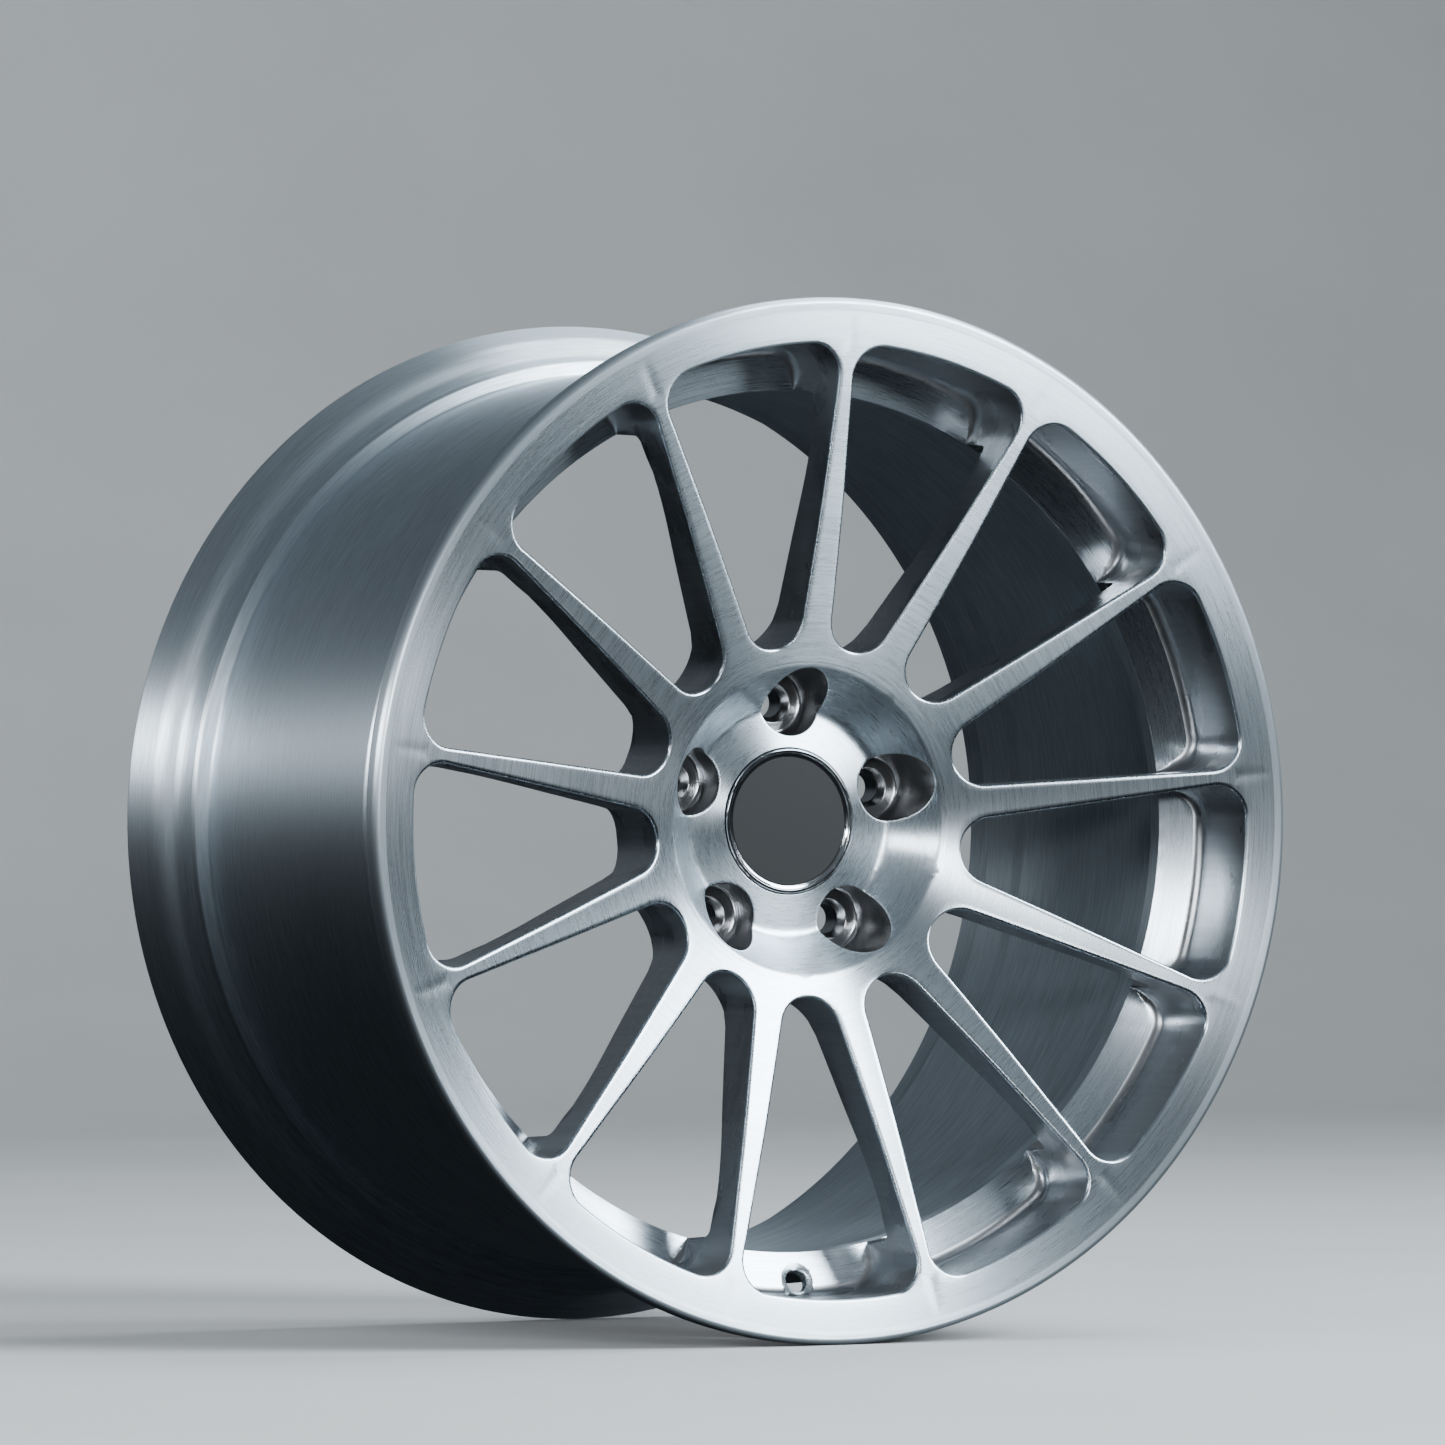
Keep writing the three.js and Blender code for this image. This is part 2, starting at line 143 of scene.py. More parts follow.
# Valve hole.
VALVE_RADIUS = 5.75
VALVE_CHAMFER = 1.0
VALVE_SPOT_FACE = 9.0
VALVE_SPOT_DEPTH = 0.35
VALVE_CENTRE = 230.6

# Barrel.
BARREL_RADIUS = 233.5
BARREL_BORE = 226.5
REAR_LIP_BORE = 240.0

# Fineness.
RIM_STEPS = 17 * SPOKES
BORE_STEPS = 120
CAP_STEPS = 120
OUTER_SAMPLES = 9
CORNER_SAMPLES = 10
SIDE_SAMPLES = 14
END_SAMPLES = 8
LUG_SAMPLES = 100
VALVE_STEPS = 64
EDGE_BEND = np.radians(np.linspace(0, 90, 5))
SHARP_ANGLE = math.radians(35)
MERGE_DISTANCE = 4e-6


# --- Outlines and curves ---

def smooth_curve(points):
    """A smooth function of radius through radius-depth points."""
    r = np.array([p[0] for p in points], float)[::-1]
    d = np.array([p[1] for p in points], float)[::-1]
    slope = np.gradient(d, r)

    def depth(radius):
        i = np.clip(np.searchsorted(r, radius) - 1, 0, len(r) - 2)
        step = r[i + 1] - r[i]
        t = (radius - r[i]) / step
        return (
            d[i] * (1 + 2 * t) * (1 - t) ** 2 + slope[i] * step * t * (1 - t) ** 2
            + d[i + 1] * t * t * (3 - 2 * t) + slope[i + 1] * step * t * t * (t - 1)
        )

    return depth


def rounded(points, steps=4):
    """An outline of straight lines with round corners. Each point is (radius, depth, corner size)."""
    out = []
    for i, (r, d, *size) in enumerate(points):
        corner = np.array([r, d], float)
        if not size or i in (0, len(points) - 1):
            out.append(corner)
            continue
        before = np.array(points[i - 1][:2], float) - corner
        after = np.array(points[i + 1][:2], float) - corner
        before /= np.linalg.norm(before)
        after /= np.linalg.norm(after)
        half = math.acos(np.clip(before @ after, -1, 1)) / 2
        middle = (before + after) / np.linalg.norm(before + after)
        centre = corner + middle * size[0] / math.sin(half)
        start = corner + before * size[0] / math.tan(half) - centre
        end = corner + after * size[0] / math.tan(half) - centre
        sweep = math.atan2(start[0] * end[1] - start[1] * end[0], start @ end)
        across = np.array([-start[1], start[0]])
        for a in np.linspace(0, sweep, steps + 1):
            out.append(centre + start * math.cos(a) + across * math.sin(a))
    return np.array(out)


def arc(radius, depth, size, start, end, steps=6):
    """Points of an arc in the radius-depth plane, its angles in degrees from the radius's direction."""
    a = np.radians(np.linspace(start, end, steps + 1))
    return [(radius + size * c, depth + size * s) for c, s in zip(np.cos(a), np.sin(a))]


face_depth = smooth_curve(FACE)
spoke_back = smooth_curve(BACK)
hub_back_outline = rounded(HUB_BACK)

# The web behind the spokes' ends: from the end of the ramp down to the rear of the spokes.
web_outline = rounded([
    (WELL_INNER_RADIUS, RAMP_END),
    (WEB_FOOT, float(spoke_back(WEB_FOOT)), WEB_FILLET),
    (WEB_FOOT - WEB_REACH, float(spoke_back(WEB_FOOT - WEB_REACH))),
], steps=8)
WEB_END = web_outline[-1][0]

# The hub's front, from the cap's recess out over the floor and the dish's cone to the face.
hub_front_outline = rounded([
    (RECESS_RADIUS - 1, DISH_FLOOR_INNER_DEPTH),
    (DISH_FLOOR_RADIUS, DISH_FLOOR_DEPTH, DISH_FLOOR_FILLET),
    (DISH_RADIUS, DISH_DEPTH, DISH_EDGE),
    (FACE_INNER + 6, float(face_depth(FACE_INNER + 6))),
])


def back_depth(radius):
    """Depth of the rear faces of the hub and spokes, and of the web at the spokes' outer end."""
    radius = np.asarray(radius, float)
    hub = np.interp(radius, hub_back_outline[::-1, 0], hub_back_outline[::-1, 1])
    spoke = spoke_back(np.clip(radius, BACK[-1][0], BACK[0][0]))
    web = np.interp(radius, web_outline[::-1, 0], web_outline[::-1, 1])
    return np.where(radius < BACK[-1][0], hub, np.where(radius < WEB_END, spoke, web))


def ramp_depth(radius):
    """Depth of the ramp that leads from the windows' outer wall down into the barrel."""
    slope = (RAMP_END - RAMP_TOP) / (WINDOW_RADIUS - WELL_INNER_RADIUS)
    return RAMP_TOP + (WINDOW_RADIUS - radius) * slope


def hub_front_depth(radius):
    """Depth of the dish's floor and cone, and of the face outside them."""
    inner = np.interp(radius, hub_front_outline[:, 0], hub_front_outline[:, 1])
    return np.where(np.asarray(radius) > DISH_END, face_depth(radius), inner)


# --- Points and meshes ---

def spin(radius, turn, depth):
    """Points from radius, turn and depth."""
    radius, turn, depth = np.broadcast_arrays(radius, turn, depth)
    return np.stack([radius * np.cos(turn), FACE_Y + depth, -radius * np.sin(turn)], -1)


def lift(plan, depth):
    """Points from plan places, seen from the outer face, and a depth."""
    x, down = plan[..., 0], plan[..., 1]
    return np.stack([x, np.broadcast_to(FACE_Y + depth, x.shape), -down], -1)


def radius_of(plan):
    return np.hypot(plan[..., 0], plan[..., 1])


def turned(points, angle):
    """Points turned about the wheel's axis, clockwise as seen from the outer face."""
    c, s = math.cos(angle), math.sin(angle)
    x, z = points[..., 0], points[..., 2]
    return np.stack([c * x + s * z, points[..., 1], c * z - s * x], -1)


def turning(ring):
    """Which way a ring of points goes round the Y axis."""
    return np.sign(np.sum(np.sin(np.diff(np.arctan2(ring[:, 0], ring[:, 2])))))


def ordered(points):
    """Points of a circle in order of turn, without repeats."""
    points = points[np.argsort(np.arctan2(points[:, 0], points[:, 2]))]
    keep = np.linalg.norm(points - np.roll(points, 1, axis=0), axis=1) > 1e-6
    return points[keep]


def directions(turns):
    """Unit directions in plan."""
    return np.stack([np.cos(turns), np.sin(turns)], -1)


def to_line(p, n, normal):
    """How far a ray from p along n goes to a line through the axis, given the line's normal."""
    rate = n @ normal
    return -(p @ normal) / rate if rate > 1e-6 else math.inf


def to_circle(p, n, radius):
    """How far a ray from p along n goes to a circle round the axis."""
    b, c = p @ n, p @ p - radius**2
    root = b * b - c
    if root < 0:
        return math.inf
    near = [t for t in (-b - math.sqrt(root), -b + math.sqrt(root)) if t > -1e-6]
    return min(near) if near else math.inf


def add_object(name, data):
    """A new object in the scene."""
    made = bpy.data.objects.new(name, data)
    bpy.context.scene.collection.objects.link(made)
    return made


FACE_FINISH, WALL_FINISH, POCKET_FINISH, BARREL_FINISH = range(4)


class Shell:
    """Gathers the faces of one piece from grids and strips of points."""

    def __init__(self):
        self.points = []
        self.faces = []
        self.finishes = []
        self.count = 0

    def _add(self, points):
        points = np.asarray(points, float).reshape(-1, 3)
        self.points.append(points)
        self.count += len(points)
        return self.count - len(points)

    def grid(self, rows, finish=0, closed=False):
        """Faces between rows of points, an array of rows x columns x 3."""
        rows = np.asarray(rows)
        m, n = rows.shape[:2]
        ids = self._add(rows) + np.arange(m * n).reshape(m, n)
        if closed:
            ids = np.concatenate([ids, ids[:, :1]], 1)
        quads = np.stack([ids[:-1, :-1], ids[:-1, 1:], ids[1:, 1:], ids[1:, :-1]], -1).reshape(-1, 4)
        self.faces += quads.tolist()
        self.finishes += [finish] * len(quads)

    def stitch(self, a, b, finish):
        """Triangles between two rings round the Y axis, matched by the turns of their points."""
        if turning(a) != turning(b):
            b = b[::-1]
        b = np.roll(b, -np.argmin(np.linalg.norm(b - a[0], axis=1)), axis=0)
        a, b = np.concatenate([a, a[:1]]), np.concatenate([b, b[:1]])
        ta, tb = (np.unwrap(np.arctan2(line[:, 0], line[:, 2])) for line in (a, b))
        tb = tb + 2 * math.pi * round((ta[0] - tb[0]) / (2 * math.pi))
        sign = 1 if ta[-1] > ta[0] else -1
        ia, ib = self._add(a), self._add(b)
        i = j = 0
        while i < len(a) - 1 or j < len(b) - 1:
            step_a = j == len(b) - 1 or (i < len(a) - 1 and (ta[i + 1] - tb[j + 1]) * sign <= 0)
            if step_a:
                self.faces.append([ia + i, ia + i + 1, ib + j])
                i += 1
            else:
                self.faces.append([ib + j, ia + i, ib + j + 1])
                j += 1
            self.finishes.append(finish)

    def make(self, name, *finishes):
        """A closed mesh object in metres, its faces turned outwards and smooth up to an angle.

        The finishes come in the order of the shell's finish numbers.
        """
        mesh = bpy.data.meshes.new(name)
        mesh.from_pydata((np.concatenate(self.points) * MM).tolist(), [], self.faces)
        mesh.polygons.foreach_set("material_index", self.finishes)
        work = bmesh.new()
        work.from_mesh(mesh)
        bmesh.ops.remove_doubles(work, verts=work.verts, dist=MERGE_DISTANCE)
        bmesh.ops.dissolve_degenerate(work, edges=work.edges, dist=MERGE_DISTANCE)
        bmesh.ops.recalc_face_normals(work, faces=work.faces)
        work.to_mesh(mesh)
        work.free()
        mesh.polygons.foreach_set("use_smooth", [True] * len(mesh.polygons))
        mesh.set_sharp_from_angle(angle=SHARP_ANGLE)
        for finish in finishes:
            mesh.materials.append(finish)
        piece = add_object(name, mesh)
        flat = piece.modifiers.new("flat", "WEIGHTED_NORMAL")
        flat.keep_sharp = True
        return piece


def lathe(shell, outline, steps, finish=0):
    """Revolves radius-depth points, and gives the first and last circle."""
    angles = np.arange(steps) * 2 * math.pi / steps
    rows = np.array([spin(r, angles, d) for r, d in outline])
    shell.grid(rows, finish, closed=True)
    return rows[0], rows[-1]


# --- Windows and spokes ---

class Window:
    """Samples round the outline of one window about +X, with what its sheets of metal need at each.

    place is on the window's wall and out points away from the window. front and rear are where a line
    from place along out reaches the edge of the window's sector, on the face and behind the spokes.
    low and high are the samples on the well's inner radius, and all between them lie on the ramp.
    """

    def __init__(self):
        self.spoke = np.array([math.cos(HALF_PITCH), math.sin(HALF_PITCH)])
        self.spoke_normal = np.array([-math.sin(HALF_PITCH), math.cos(HALF_PITCH)])
        place, out, edge = self._half_outline()
        front = np.array([self._front_end(p, n) for p, n in zip(place, out)])
        rear = np.array([self._rear_end(p, n) for p, n in zip(place, out)])
        self.edge_turn = math.atan2(place[edge][1], place[edge][0])
        self.place, self.out, self.front, self.rear = (
            np.concatenate([mirrored(half)[:-1], half]) for half in (place, out, front, rear)
        )
        middle = len(place) - 1
        self.low, self.high = middle - edge, middle + edge
        self.radius = radius_of(self.place)
        self.round_off = BACK_EDGE * np.clip((WEB_END - self.radius) / BACK_EDGE_FADE, 0, 1)
        self.fillet = FLOOR_FILLET * np.clip((self.radius - WELL_INNER_RADIUS) / FILLET_FADE, 0, 1)

    @staticmethod
    def _corner():
        """Turn and centre of the arc that touches the outer wall and the side of a spoke.

        Its centre is x along the spoke's own line and reach - SPOKE_TAPER * x beside it.
        """
        slope = math.hypot(1, SPOKE_TAPER)
        reach = WINDOW_CORNER * slope + SPOKE_HALF_WIDTH + SPOKE_TAPER * WINDOW_RADIUS
        wall = WINDOW_RADIUS - WINDOW_CORNER
        b = reach * SPOKE_TAPER
        x = (b + math.sqrt(b * b - slope**2 * (reach**2 - wall**2))) / slope**2
        turn = HALF_PITCH - math.atan2(reach - SPOKE_TAPER * x, x)
        return turn, wall * directions(turn)

    @staticmethod
    def _inner_end():
        """Centre and size of the arc that touches both spokes' sides and the inner radius."""
        slope = math.hypot(1, SPOKE_TAPER)
        pull = (math.sin(HALF_PITCH) + SPOKE_TAPER * math.cos(HALF_PITCH)) / slope
        side = (SPOKE_HALF_WIDTH + SPOKE_TAPER * WINDOW_RADIUS) / slope
        centre = (WINDOW_INNER_RADIUS - side) / (1 - pull)
        return np.array([centre, 0.0]), centre - WINDOW_INNER_RADIUS

    def _half_outline(self):
        """Places and directions from the outer middle, down one spoke, to the inner middle.

        The third value is the sample on the well's inner radius.
        """
        corner_turn, corner = self._corner()
        end, end_size = self._inner_end()
        side_turn = HALF_PITCH + math.pi / 2 + math.atan(SPOKE_TAPER)
        side_out = directions(side_turn)

        def turn_to(target, centre):
            return math.atan2(target[1] - centre[1], target[0] - centre[0])

        outer = np.linspace(0, corner_turn, OUTER_SAMPLES)[:-1]
        split = turn_to(WINDOW_RADIUS * self.spoke, corner)
        corner_turns = np.concatenate([
            np.linspace(corner_turn, split, CORNER_SAMPLES)[:-1],
            np.linspace(split, side_turn, CORNER_SAMPLES + 1),
        ])
        side, edge_step = self._side_points(corner + WINDOW_CORNER * side_out, end + end_size * side_out)
        end_split = turn_to(FACE_INNER * self.spoke, end)
        end_turns = np.unique(np.concatenate([
            np.linspace(side_turn, end_split, END_SAMPLES),
            np.linspace(end_split, math.pi, END_SAMPLES + 3),
            [turn_to(BACK_INNER * self.spoke, end)],
        ]))
        place = np.concatenate([
            WINDOW_RADIUS * directions(outer),
            corner + WINDOW_CORNER * directions(corner_turns),
            side,
            end + end_size * directions(end_turns),
        ])
        out = np.concatenate([
            directions(outer),
            directions(corner_turns),
            np.tile(side_out, (len(side), 1)),
            directions(end_turns),
        ])
        return place, out, len(outer) + len(corner_turns) + edge_step

    @staticmethod
    def _side_points(top, bottom):
        """Points down a spoke's straight side, one of them on each circle of the web's outline.

        The second value is which of them is on the well's inner radius.
        """
        along = bottom - top
        length = np.linalg.norm(along)
        radii = [(np.linalg.norm(top) + WELL_INNER_RADIUS) / 2] + list(web_outline[:, 0])
        shares = [to_circle(top, along / length, radius) / length for radius in radii]
        shares += list(np.linspace(shares[-1], 1, SIDE_SAMPLES)[1:-1])
        return np.array([top + along * t for t in shares]), 1

    def _front_end(self, p, n):
        line = to_line(p, n, self.spoke_normal)
        if p[0] < WINDOW_MIDDLE:
            return p + n * min(line, to_circle(p, n, FACE_INNER))
        wall = to_circle(p, n, WINDOW_RADIUS)
        if wall <= line + 1e-6:
            return (p + n * wall) * FACE_OUTER / WINDOW_RADIUS
        return p + n * line

    def _rear_end(self, p, n):
        inner = to_circle(p, n, BACK_INNER) if p[0] < WINDOW_MIDDLE else math.inf
        way = min(to_line(p, n, self.spoke_normal), inner)
        return p if math.isinf(way) else p + n * way


def mirrored(points):
    """The same places on the other side of the window, in the opposite order."""
    return points[::-1] * np.array([1, -1])


def window_turns():
    return [FIRST_SPOKE + (k + 0.5) * 2 * HALF_PITCH for k in range(SPOKES)]


def all_round(rows, shell, finish):
    """Adds a grid once for each window."""
    for angle in window_turns():
        shell.grid(turned(np.asarray(rows), angle), finish)


def circle_of(part):
    """One circle made of the same stretch in each sector, in order of turn."""
    return ordered(np.concatenate([turned(part, angle) for angle in window_turns()]))


def face_sheet(shell, window):
    """The face round a window, with its edge rounded over."""
    rows = []
    for a in EDGE_BEND:
        spot = window.place + window.out * FRONT_EDGE * (1 - math.cos(a))
        rows.append(lift(spot, face_depth(radius_of(spot)) + FRONT_EDGE * (1 - math.sin(a))))
    inner = window.place + window.out * FRONT_EDGE
    for t in np.linspace(0, 1, 5)[1:]:
        spot = inner + (window.front - inner) * t
        rows.append(lift(spot, face_depth(radius_of(spot))))
    all_round(rows, shell, FACE_FINISH)


def wall_sheet(shell, window):
    """A window's walls, down to the rear of the hub and spokes and to the ramp's fillet."""
    radius = window.radius
    top = face_depth(radius) + FRONT_EDGE
    on_ramp = radius >= WELL_INNER_RADIUS - 1e-6
    foot = np.where(on_ramp, ramp_depth(radius) - window.fillet, back_depth(radius) - window.round_off)
    rows = [lift(window.place, top + (foot - top) * t) for t in np.linspace(0, 1, 5)]
    all_round(rows, shell, WALL_FINISH)


def rear_sheet(shell, window):
    """The rear of the spokes and hub round a window, with its edge rounded over.

    It ends along the end of the ramp on both sides, and those two columns of points are given back.
    """
    round_off = window.round_off
    rows = []
    for a in EDGE_BEND:
        spot = window.place + window.out * (round_off * (1 - math.cos(a)))[:, None]
        rows.append(lift(spot, back_depth(radius_of(spot)) - round_off * (1 - math.sin(a))))
    inner = window.place + window.out * round_off[:, None]
    shares = np.linspace(0, 1, 4)[1:]
    for t in shares:
        spot = inner + (window.rear - inner) * t
        rows.append(lift(spot, back_depth(radius_of(spot))))
    rows = np.array(rows)
    shares = np.concatenate([np.zeros(len(EDGE_BEND)), shares])
    for column, side in ((window.low, -1), (window.high, 1)):
        turn = side * (window.edge_turn + (HALF_PITCH - window.edge_turn) * shares)
        rows[:, column] = spin(WELL_INNER_RADIUS, turn, RAMP_END)
    all_round(rows[:, :window.low + 1], shell, WALL_FINISH)
    all_round(rows[:, window.high:], shell, WALL_FINISH)
    return np.concatenate([rows[:, window.low], rows[:, window.high]])


def ramp_sheet(shell, window):
    """The ramp at a window's outer end, with the fillet at the foot of the wall. Gives its inner edge."""
    part = slice(window.low, window.high + 1)
    place, out, fillet = window.place[part], window.out[part], window.fillet[part]
    rows = []
    for a in EDGE_BEND:
        spot = place - out * (fillet * (1 - math.cos(a)))[:, None]
        rows.append(lift(spot, ramp_depth(radius_of(spot)) - fillet * (1 - math.sin(a))))
    all_round(rows, shell, WALL_FINISH)
    foot = place - out * fillet[:, None]
    turn = np.clip(np.arctan2(place[:, 1], place[:, 0]), -window.edge_turn, window.edge_turn)
    end = WELL_INNER_RADIUS * directions(turn)
    ramp = []
    for t in np.linspace(0, 1, 5):
        spot = foot + (end - foot) * t
        ramp.append(lift(spot, ramp_depth(radius_of(spot))))
    all_round(ramp, shell, FACE_FINISH)
    return ramp[-1]


def window_sheets(shell):
    """All the windows with the spokes between them. Gives the circles where the rest is joined on."""
    window = Window()
    face_sheet(shell, window)
    wall_sheet(shell, window)
    end_of_rear = rear_sheet(shell, window)
    end_of_ramp = ramp_sheet(shell, window)

    def circle(ends, radius, depth):
        on = np.isclose(radius_of(ends), radius)
        return circle_of(lift(ends[on], depth(radius)))

    return {
        "face_outer": circle(window.front, FACE_OUTER, face_depth),
        "face_inner": circle(window.front, FACE_INNER, face_depth),
        "back_inner": circle(window.rear, BACK_INNER, back_depth),
        "well": circle_of(np.concatenate([end_of_ramp, end_of_rear])),
    }


# --- Rim ---

def front_flange():
    """From the face, over the front lip, to the flange's tyre side. Radius-depth points."""
    edge = FACE_OUTER + 0.6
    return (
        [(edge, float(face_depth(edge)))]
        + arc(RIM_RADIUS - 3.6, 3.7, 3.6, -84, 0, 8)
        + arc(RIM_RADIUS - 7.5, 7.2, 7.5, 0, 90, 12)
        + arc(250.2, 21.2, 6.5, 270, 180)
    )


def tyre_side():
    """Front bead seat with its hump, well, barrel and rear bead seat. Radius-depth points."""
    return rounded([
        (243.6, 24), (242.6, 38), (244.2, 41, 4), (242.4, 44, 3),
        (241.2, 48.5, 4), (224, 56, 3), (223, 61, 3), (BARREL_RADIUS, 67, 3.0),
        (BARREL_RADIUS, 120), (BARREL_RADIUS, 180), (BARREL_RADIUS, 243, 1.5),
        (241, 243.6, 1.2), (242.3, 246, 2), (242.4, 252),
    ]).tolist()


def rear_flange():
    """From the rear bead seat, up the flange and over its lip. Radius-depth points."""
    return (
        arc(250.2, 253.5, 6.8, 172, 120)
        + arc(242.6, 272.6, 13.5, 300, 338, 7)
        + arc(RIM_RADIUS - 1.6, RIM_WIDTH - 1.6, 1.6, -22, 90)
    )


def barrel_bore():
    """From the rear lip, forward through the barrel, to the inside of the well. Radius-depth points."""
    return rounded([
        (RIM_RADIUS - 3, RIM_WIDTH), (REAR_LIP_BORE, RIM_WIDTH, 2.5), (237.5, 262, 6), (229.5, 247, 8),
        (228, 216, 1.0), (BARREL_BORE, 204, 1.0), (BARREL_BORE, 150), (BARREL_BORE, 69, 2.5),
        (WELL_INNER_RADIUS, 61, 2.5), (WELL_INNER_RADIUS, RAMP_END + 0.5),
    ])


def rim(shell, circles):
    """The turned rim, round from the face's outer circle to the end of the ramp."""
    outside = np.array(front_flange() + tyre_side() + rear_flange())
    inside = barrel_bore()
    first, _ = lathe(shell, outside, RIM_STEPS, BARREL_FINISH)
    lathe(shell, [outside[-1], inside[0]], RIM_STEPS, BARREL_FINISH)
    _, last = lathe(shell, inside, RIM_STEPS, BARREL_FINISH)
    shell.stitch(circles["face_outer"], first, FACE_FINISH)
    shell.stitch(circles["well"], last, BARREL_FINISH)


# --- Hub ---

LUG_CENTRE = np.array([PITCH_CIRCLE, 0.0])


def lug_sector(inner_radius, outer_radius):
    """Directions from a lug's centre, and how far each goes to the edge of its fifth of the hub."""
    half = math.pi / LUGS
    corners = [
        radius * directions(side * half) - LUG_CENTRE
        for radius in (inner_radius, outer_radius) for side in (-1, 1)
    ]
    turns = np.concatenate([
        np.linspace(0, 2 * math.pi, LUG_SAMPLES, endpoint=False),
        [math.atan2(c[1], c[0]) % (2 * math.pi) for c in corners],
    ])
    n = directions(np.unique(np.round(turns, 9)))
    sides = [side * np.array([-math.sin(side * half), math.cos(side * half)]) for side in (-1, 1)]
    reach = [
        min(
            [to_circle(LUG_CENTRE, way, outer_radius), to_circle(LUG_CENTRE, way, inner_radius)]
            + [to_line(LUG_CENTRE, way, normal) for normal in sides]
        )
        for way in n
    ]
    return n, np.array(reach)


class LugSheet:
    """The metal round one lug hole, on one side of the hub, out to the edge of its fifth of the hub.

    Rows of points start on the hole's edge, which is rounded over towards inward (1 or -1 in depth).
    """

    def __init__(self, hole_radius, edge, inner_radius, outer_radius, depth, inward, steps):
        self.radii = inner_radius, outer_radius
        self.depth = depth
        self.out, reach = lug_sector(inner_radius, outer_radius)
        rows = []
        for a in np.radians(np.linspace(0, 90, 4)):
            spot = LUG_CENTRE + self.out * (hole_radius + edge * (1 - math.cos(a)))
            rows.append(lift(spot, depth(radius_of(spot)) + inward * edge * (1 - math.sin(a))))
        start = hole_radius + edge
        for t in np.linspace(0, 1, steps + 1)[1:]:
            spot = LUG_CENTRE + self.out * (start + (reach - start) * t)[:, None]
            rows.append(lift(spot, depth(radius_of(spot))))
        self.rows = np.array(rows)
        self.end = LUG_CENTRE + self.out * reach[:, None]

    def circles(self):
        """The sheets' inner and outer circles."""
        found = []
        for radius in self.radii:
            on = np.isclose(radius_of(self.end), radius, atol=1e-6)
            part = lift(self.end[on], self.depth(radius))
            found.append(ordered(np.concatenate([turned(part, angle) for angle in lug_turns()])))
        return found


def lug_turns():
    return [FIRST_SPOKE + k * 2 * math.pi / LUGS for k in range(LUGS)]


def lug_ring(out, radius, depth):
    return lift(LUG_CENTRE + out * radius, np.full(len(out), depth))


def lug_pocket(out):
    """A lug pocket's wall, and its floor with the conical seat and the hole, as two grids."""
    top = hub_front_depth(radius_of(LUG_CENTRE + out * POCKET_RADIUS)) + POCKET_EDGE
    seat_end = POCKET_DEPTH + (SEAT_RADIUS - LUG_HOLE_RADIUS) * math.sqrt(3)
    hole_end = PAD_DEPTH - HOLE_CHAMFER
    floor = rounded([
        (POCKET_RADIUS, POCKET_DEPTH - 8), (POCKET_RADIUS, POCKET_DEPTH, POCKET_FILLET),
        (SEAT_RADIUS, POCKET_DEPTH, 0.6), (LUG_HOLE_RADIUS, seat_end, 0.4), (LUG_HOLE_RADIUS, hole_end - 0.6),
    ])
    place = LUG_CENTRE + out * POCKET_RADIUS
    wall = [lift(place, top + (floor[0][1] - top) * t) for t in np.linspace(0, 1, 4)]
    return np.array(wall), np.array([lug_ring(out, r, d) for r, d in floor])


def lugs(shell, front, back):
    """The five lug pockets, from the dish through to the pad."""
    wall, bowl = lug_pocket(front.out)
    way_out = lug_ring(back.out, LUG_HOLE_RADIUS, PAD_DEPTH - HOLE_CHAMFER - 0.3)
    for angle in lug_turns():
        shell.grid(turned(front.rows, angle), FACE_FINISH, closed=True)
        shell.grid(turned(wall, angle), POCKET_FINISH, closed=True)
        shell.grid(turned(bowl, angle), POCKET_FINISH, closed=True)
        shell.grid(turned(back.rows, angle), BARREL_FINISH, closed=True)
        centre = turned(lift(LUG_CENTRE, PAD_DEPTH), angle)
        end = turned(way_out, angle)
        stitch_ring(shell, turned(bowl[-1], angle), end, centre, POCKET_FINISH)
        shell.grid([end, turned(back.rows[0], angle)], POCKET_FINISH, closed=True)


def hub_bore(recess_top):
    """The recess for the cap, the bore that its clips hold in, and the bore for the car's hub."""
    return rounded([
        (RECESS_RADIUS + RECESS_EDGE - 0.05, recess_top + 0.05), (RECESS_RADIUS, recess_top + RECESS_EDGE),
        (RECESS_RADIUS, RECESS_DEPTH, 0.4), (CLIP_BORE_RADIUS, RECESS_DEPTH, 0.4),
        (CLIP_BORE_RADIUS, CLIP_BORE_END, 0.3), (HUB_BORE_RADIUS, CLIP_BORE_END, 0.3),
        (HUB_BORE_RADIUS, PAD_DEPTH - BORE_CHAMFER, 0.3),
        (HUB_BORE_RADIUS + BORE_CHAMFER - 0.05, PAD_DEPTH - 0.05),
    ], steps=3)


def hub(shell, circles):
    """Floor, cone and edge of the dish with the lug pockets, the bore, and the pad at the back."""
    recess_edge = RECESS_RADIUS + RECESS_EDGE
    front = LugSheet(
        POCKET_RADIUS, POCKET_EDGE, recess_edge, HUB_FRONT_OUTER, hub_front_depth, inward=1, steps=22)
    back = LugSheet(
        LUG_HOLE_RADIUS, HOLE_CHAMFER, HUB_BORE_RADIUS + BORE_CHAMFER, HUB_BACK_OUTER, back_depth,
        inward=-1, steps=6)
    lugs(shell, front, back)
    front_inner, front_outer = front.circles()
    back_inner, back_outer = back.circles()
    shell.stitch(circles["face_inner"], front_outer, FACE_FINISH)
    shell.stitch(circles["back_inner"], back_outer, BARREL_FINISH)
    first, last = lathe(shell, hub_bore(float(hub_front_depth(recess_edge))), BORE_STEPS, POCKET_FINISH)
    shell.stitch(front_inner, first, FACE_FINISH)
    shell.stitch(back_inner, last, BARREL_FINISH)


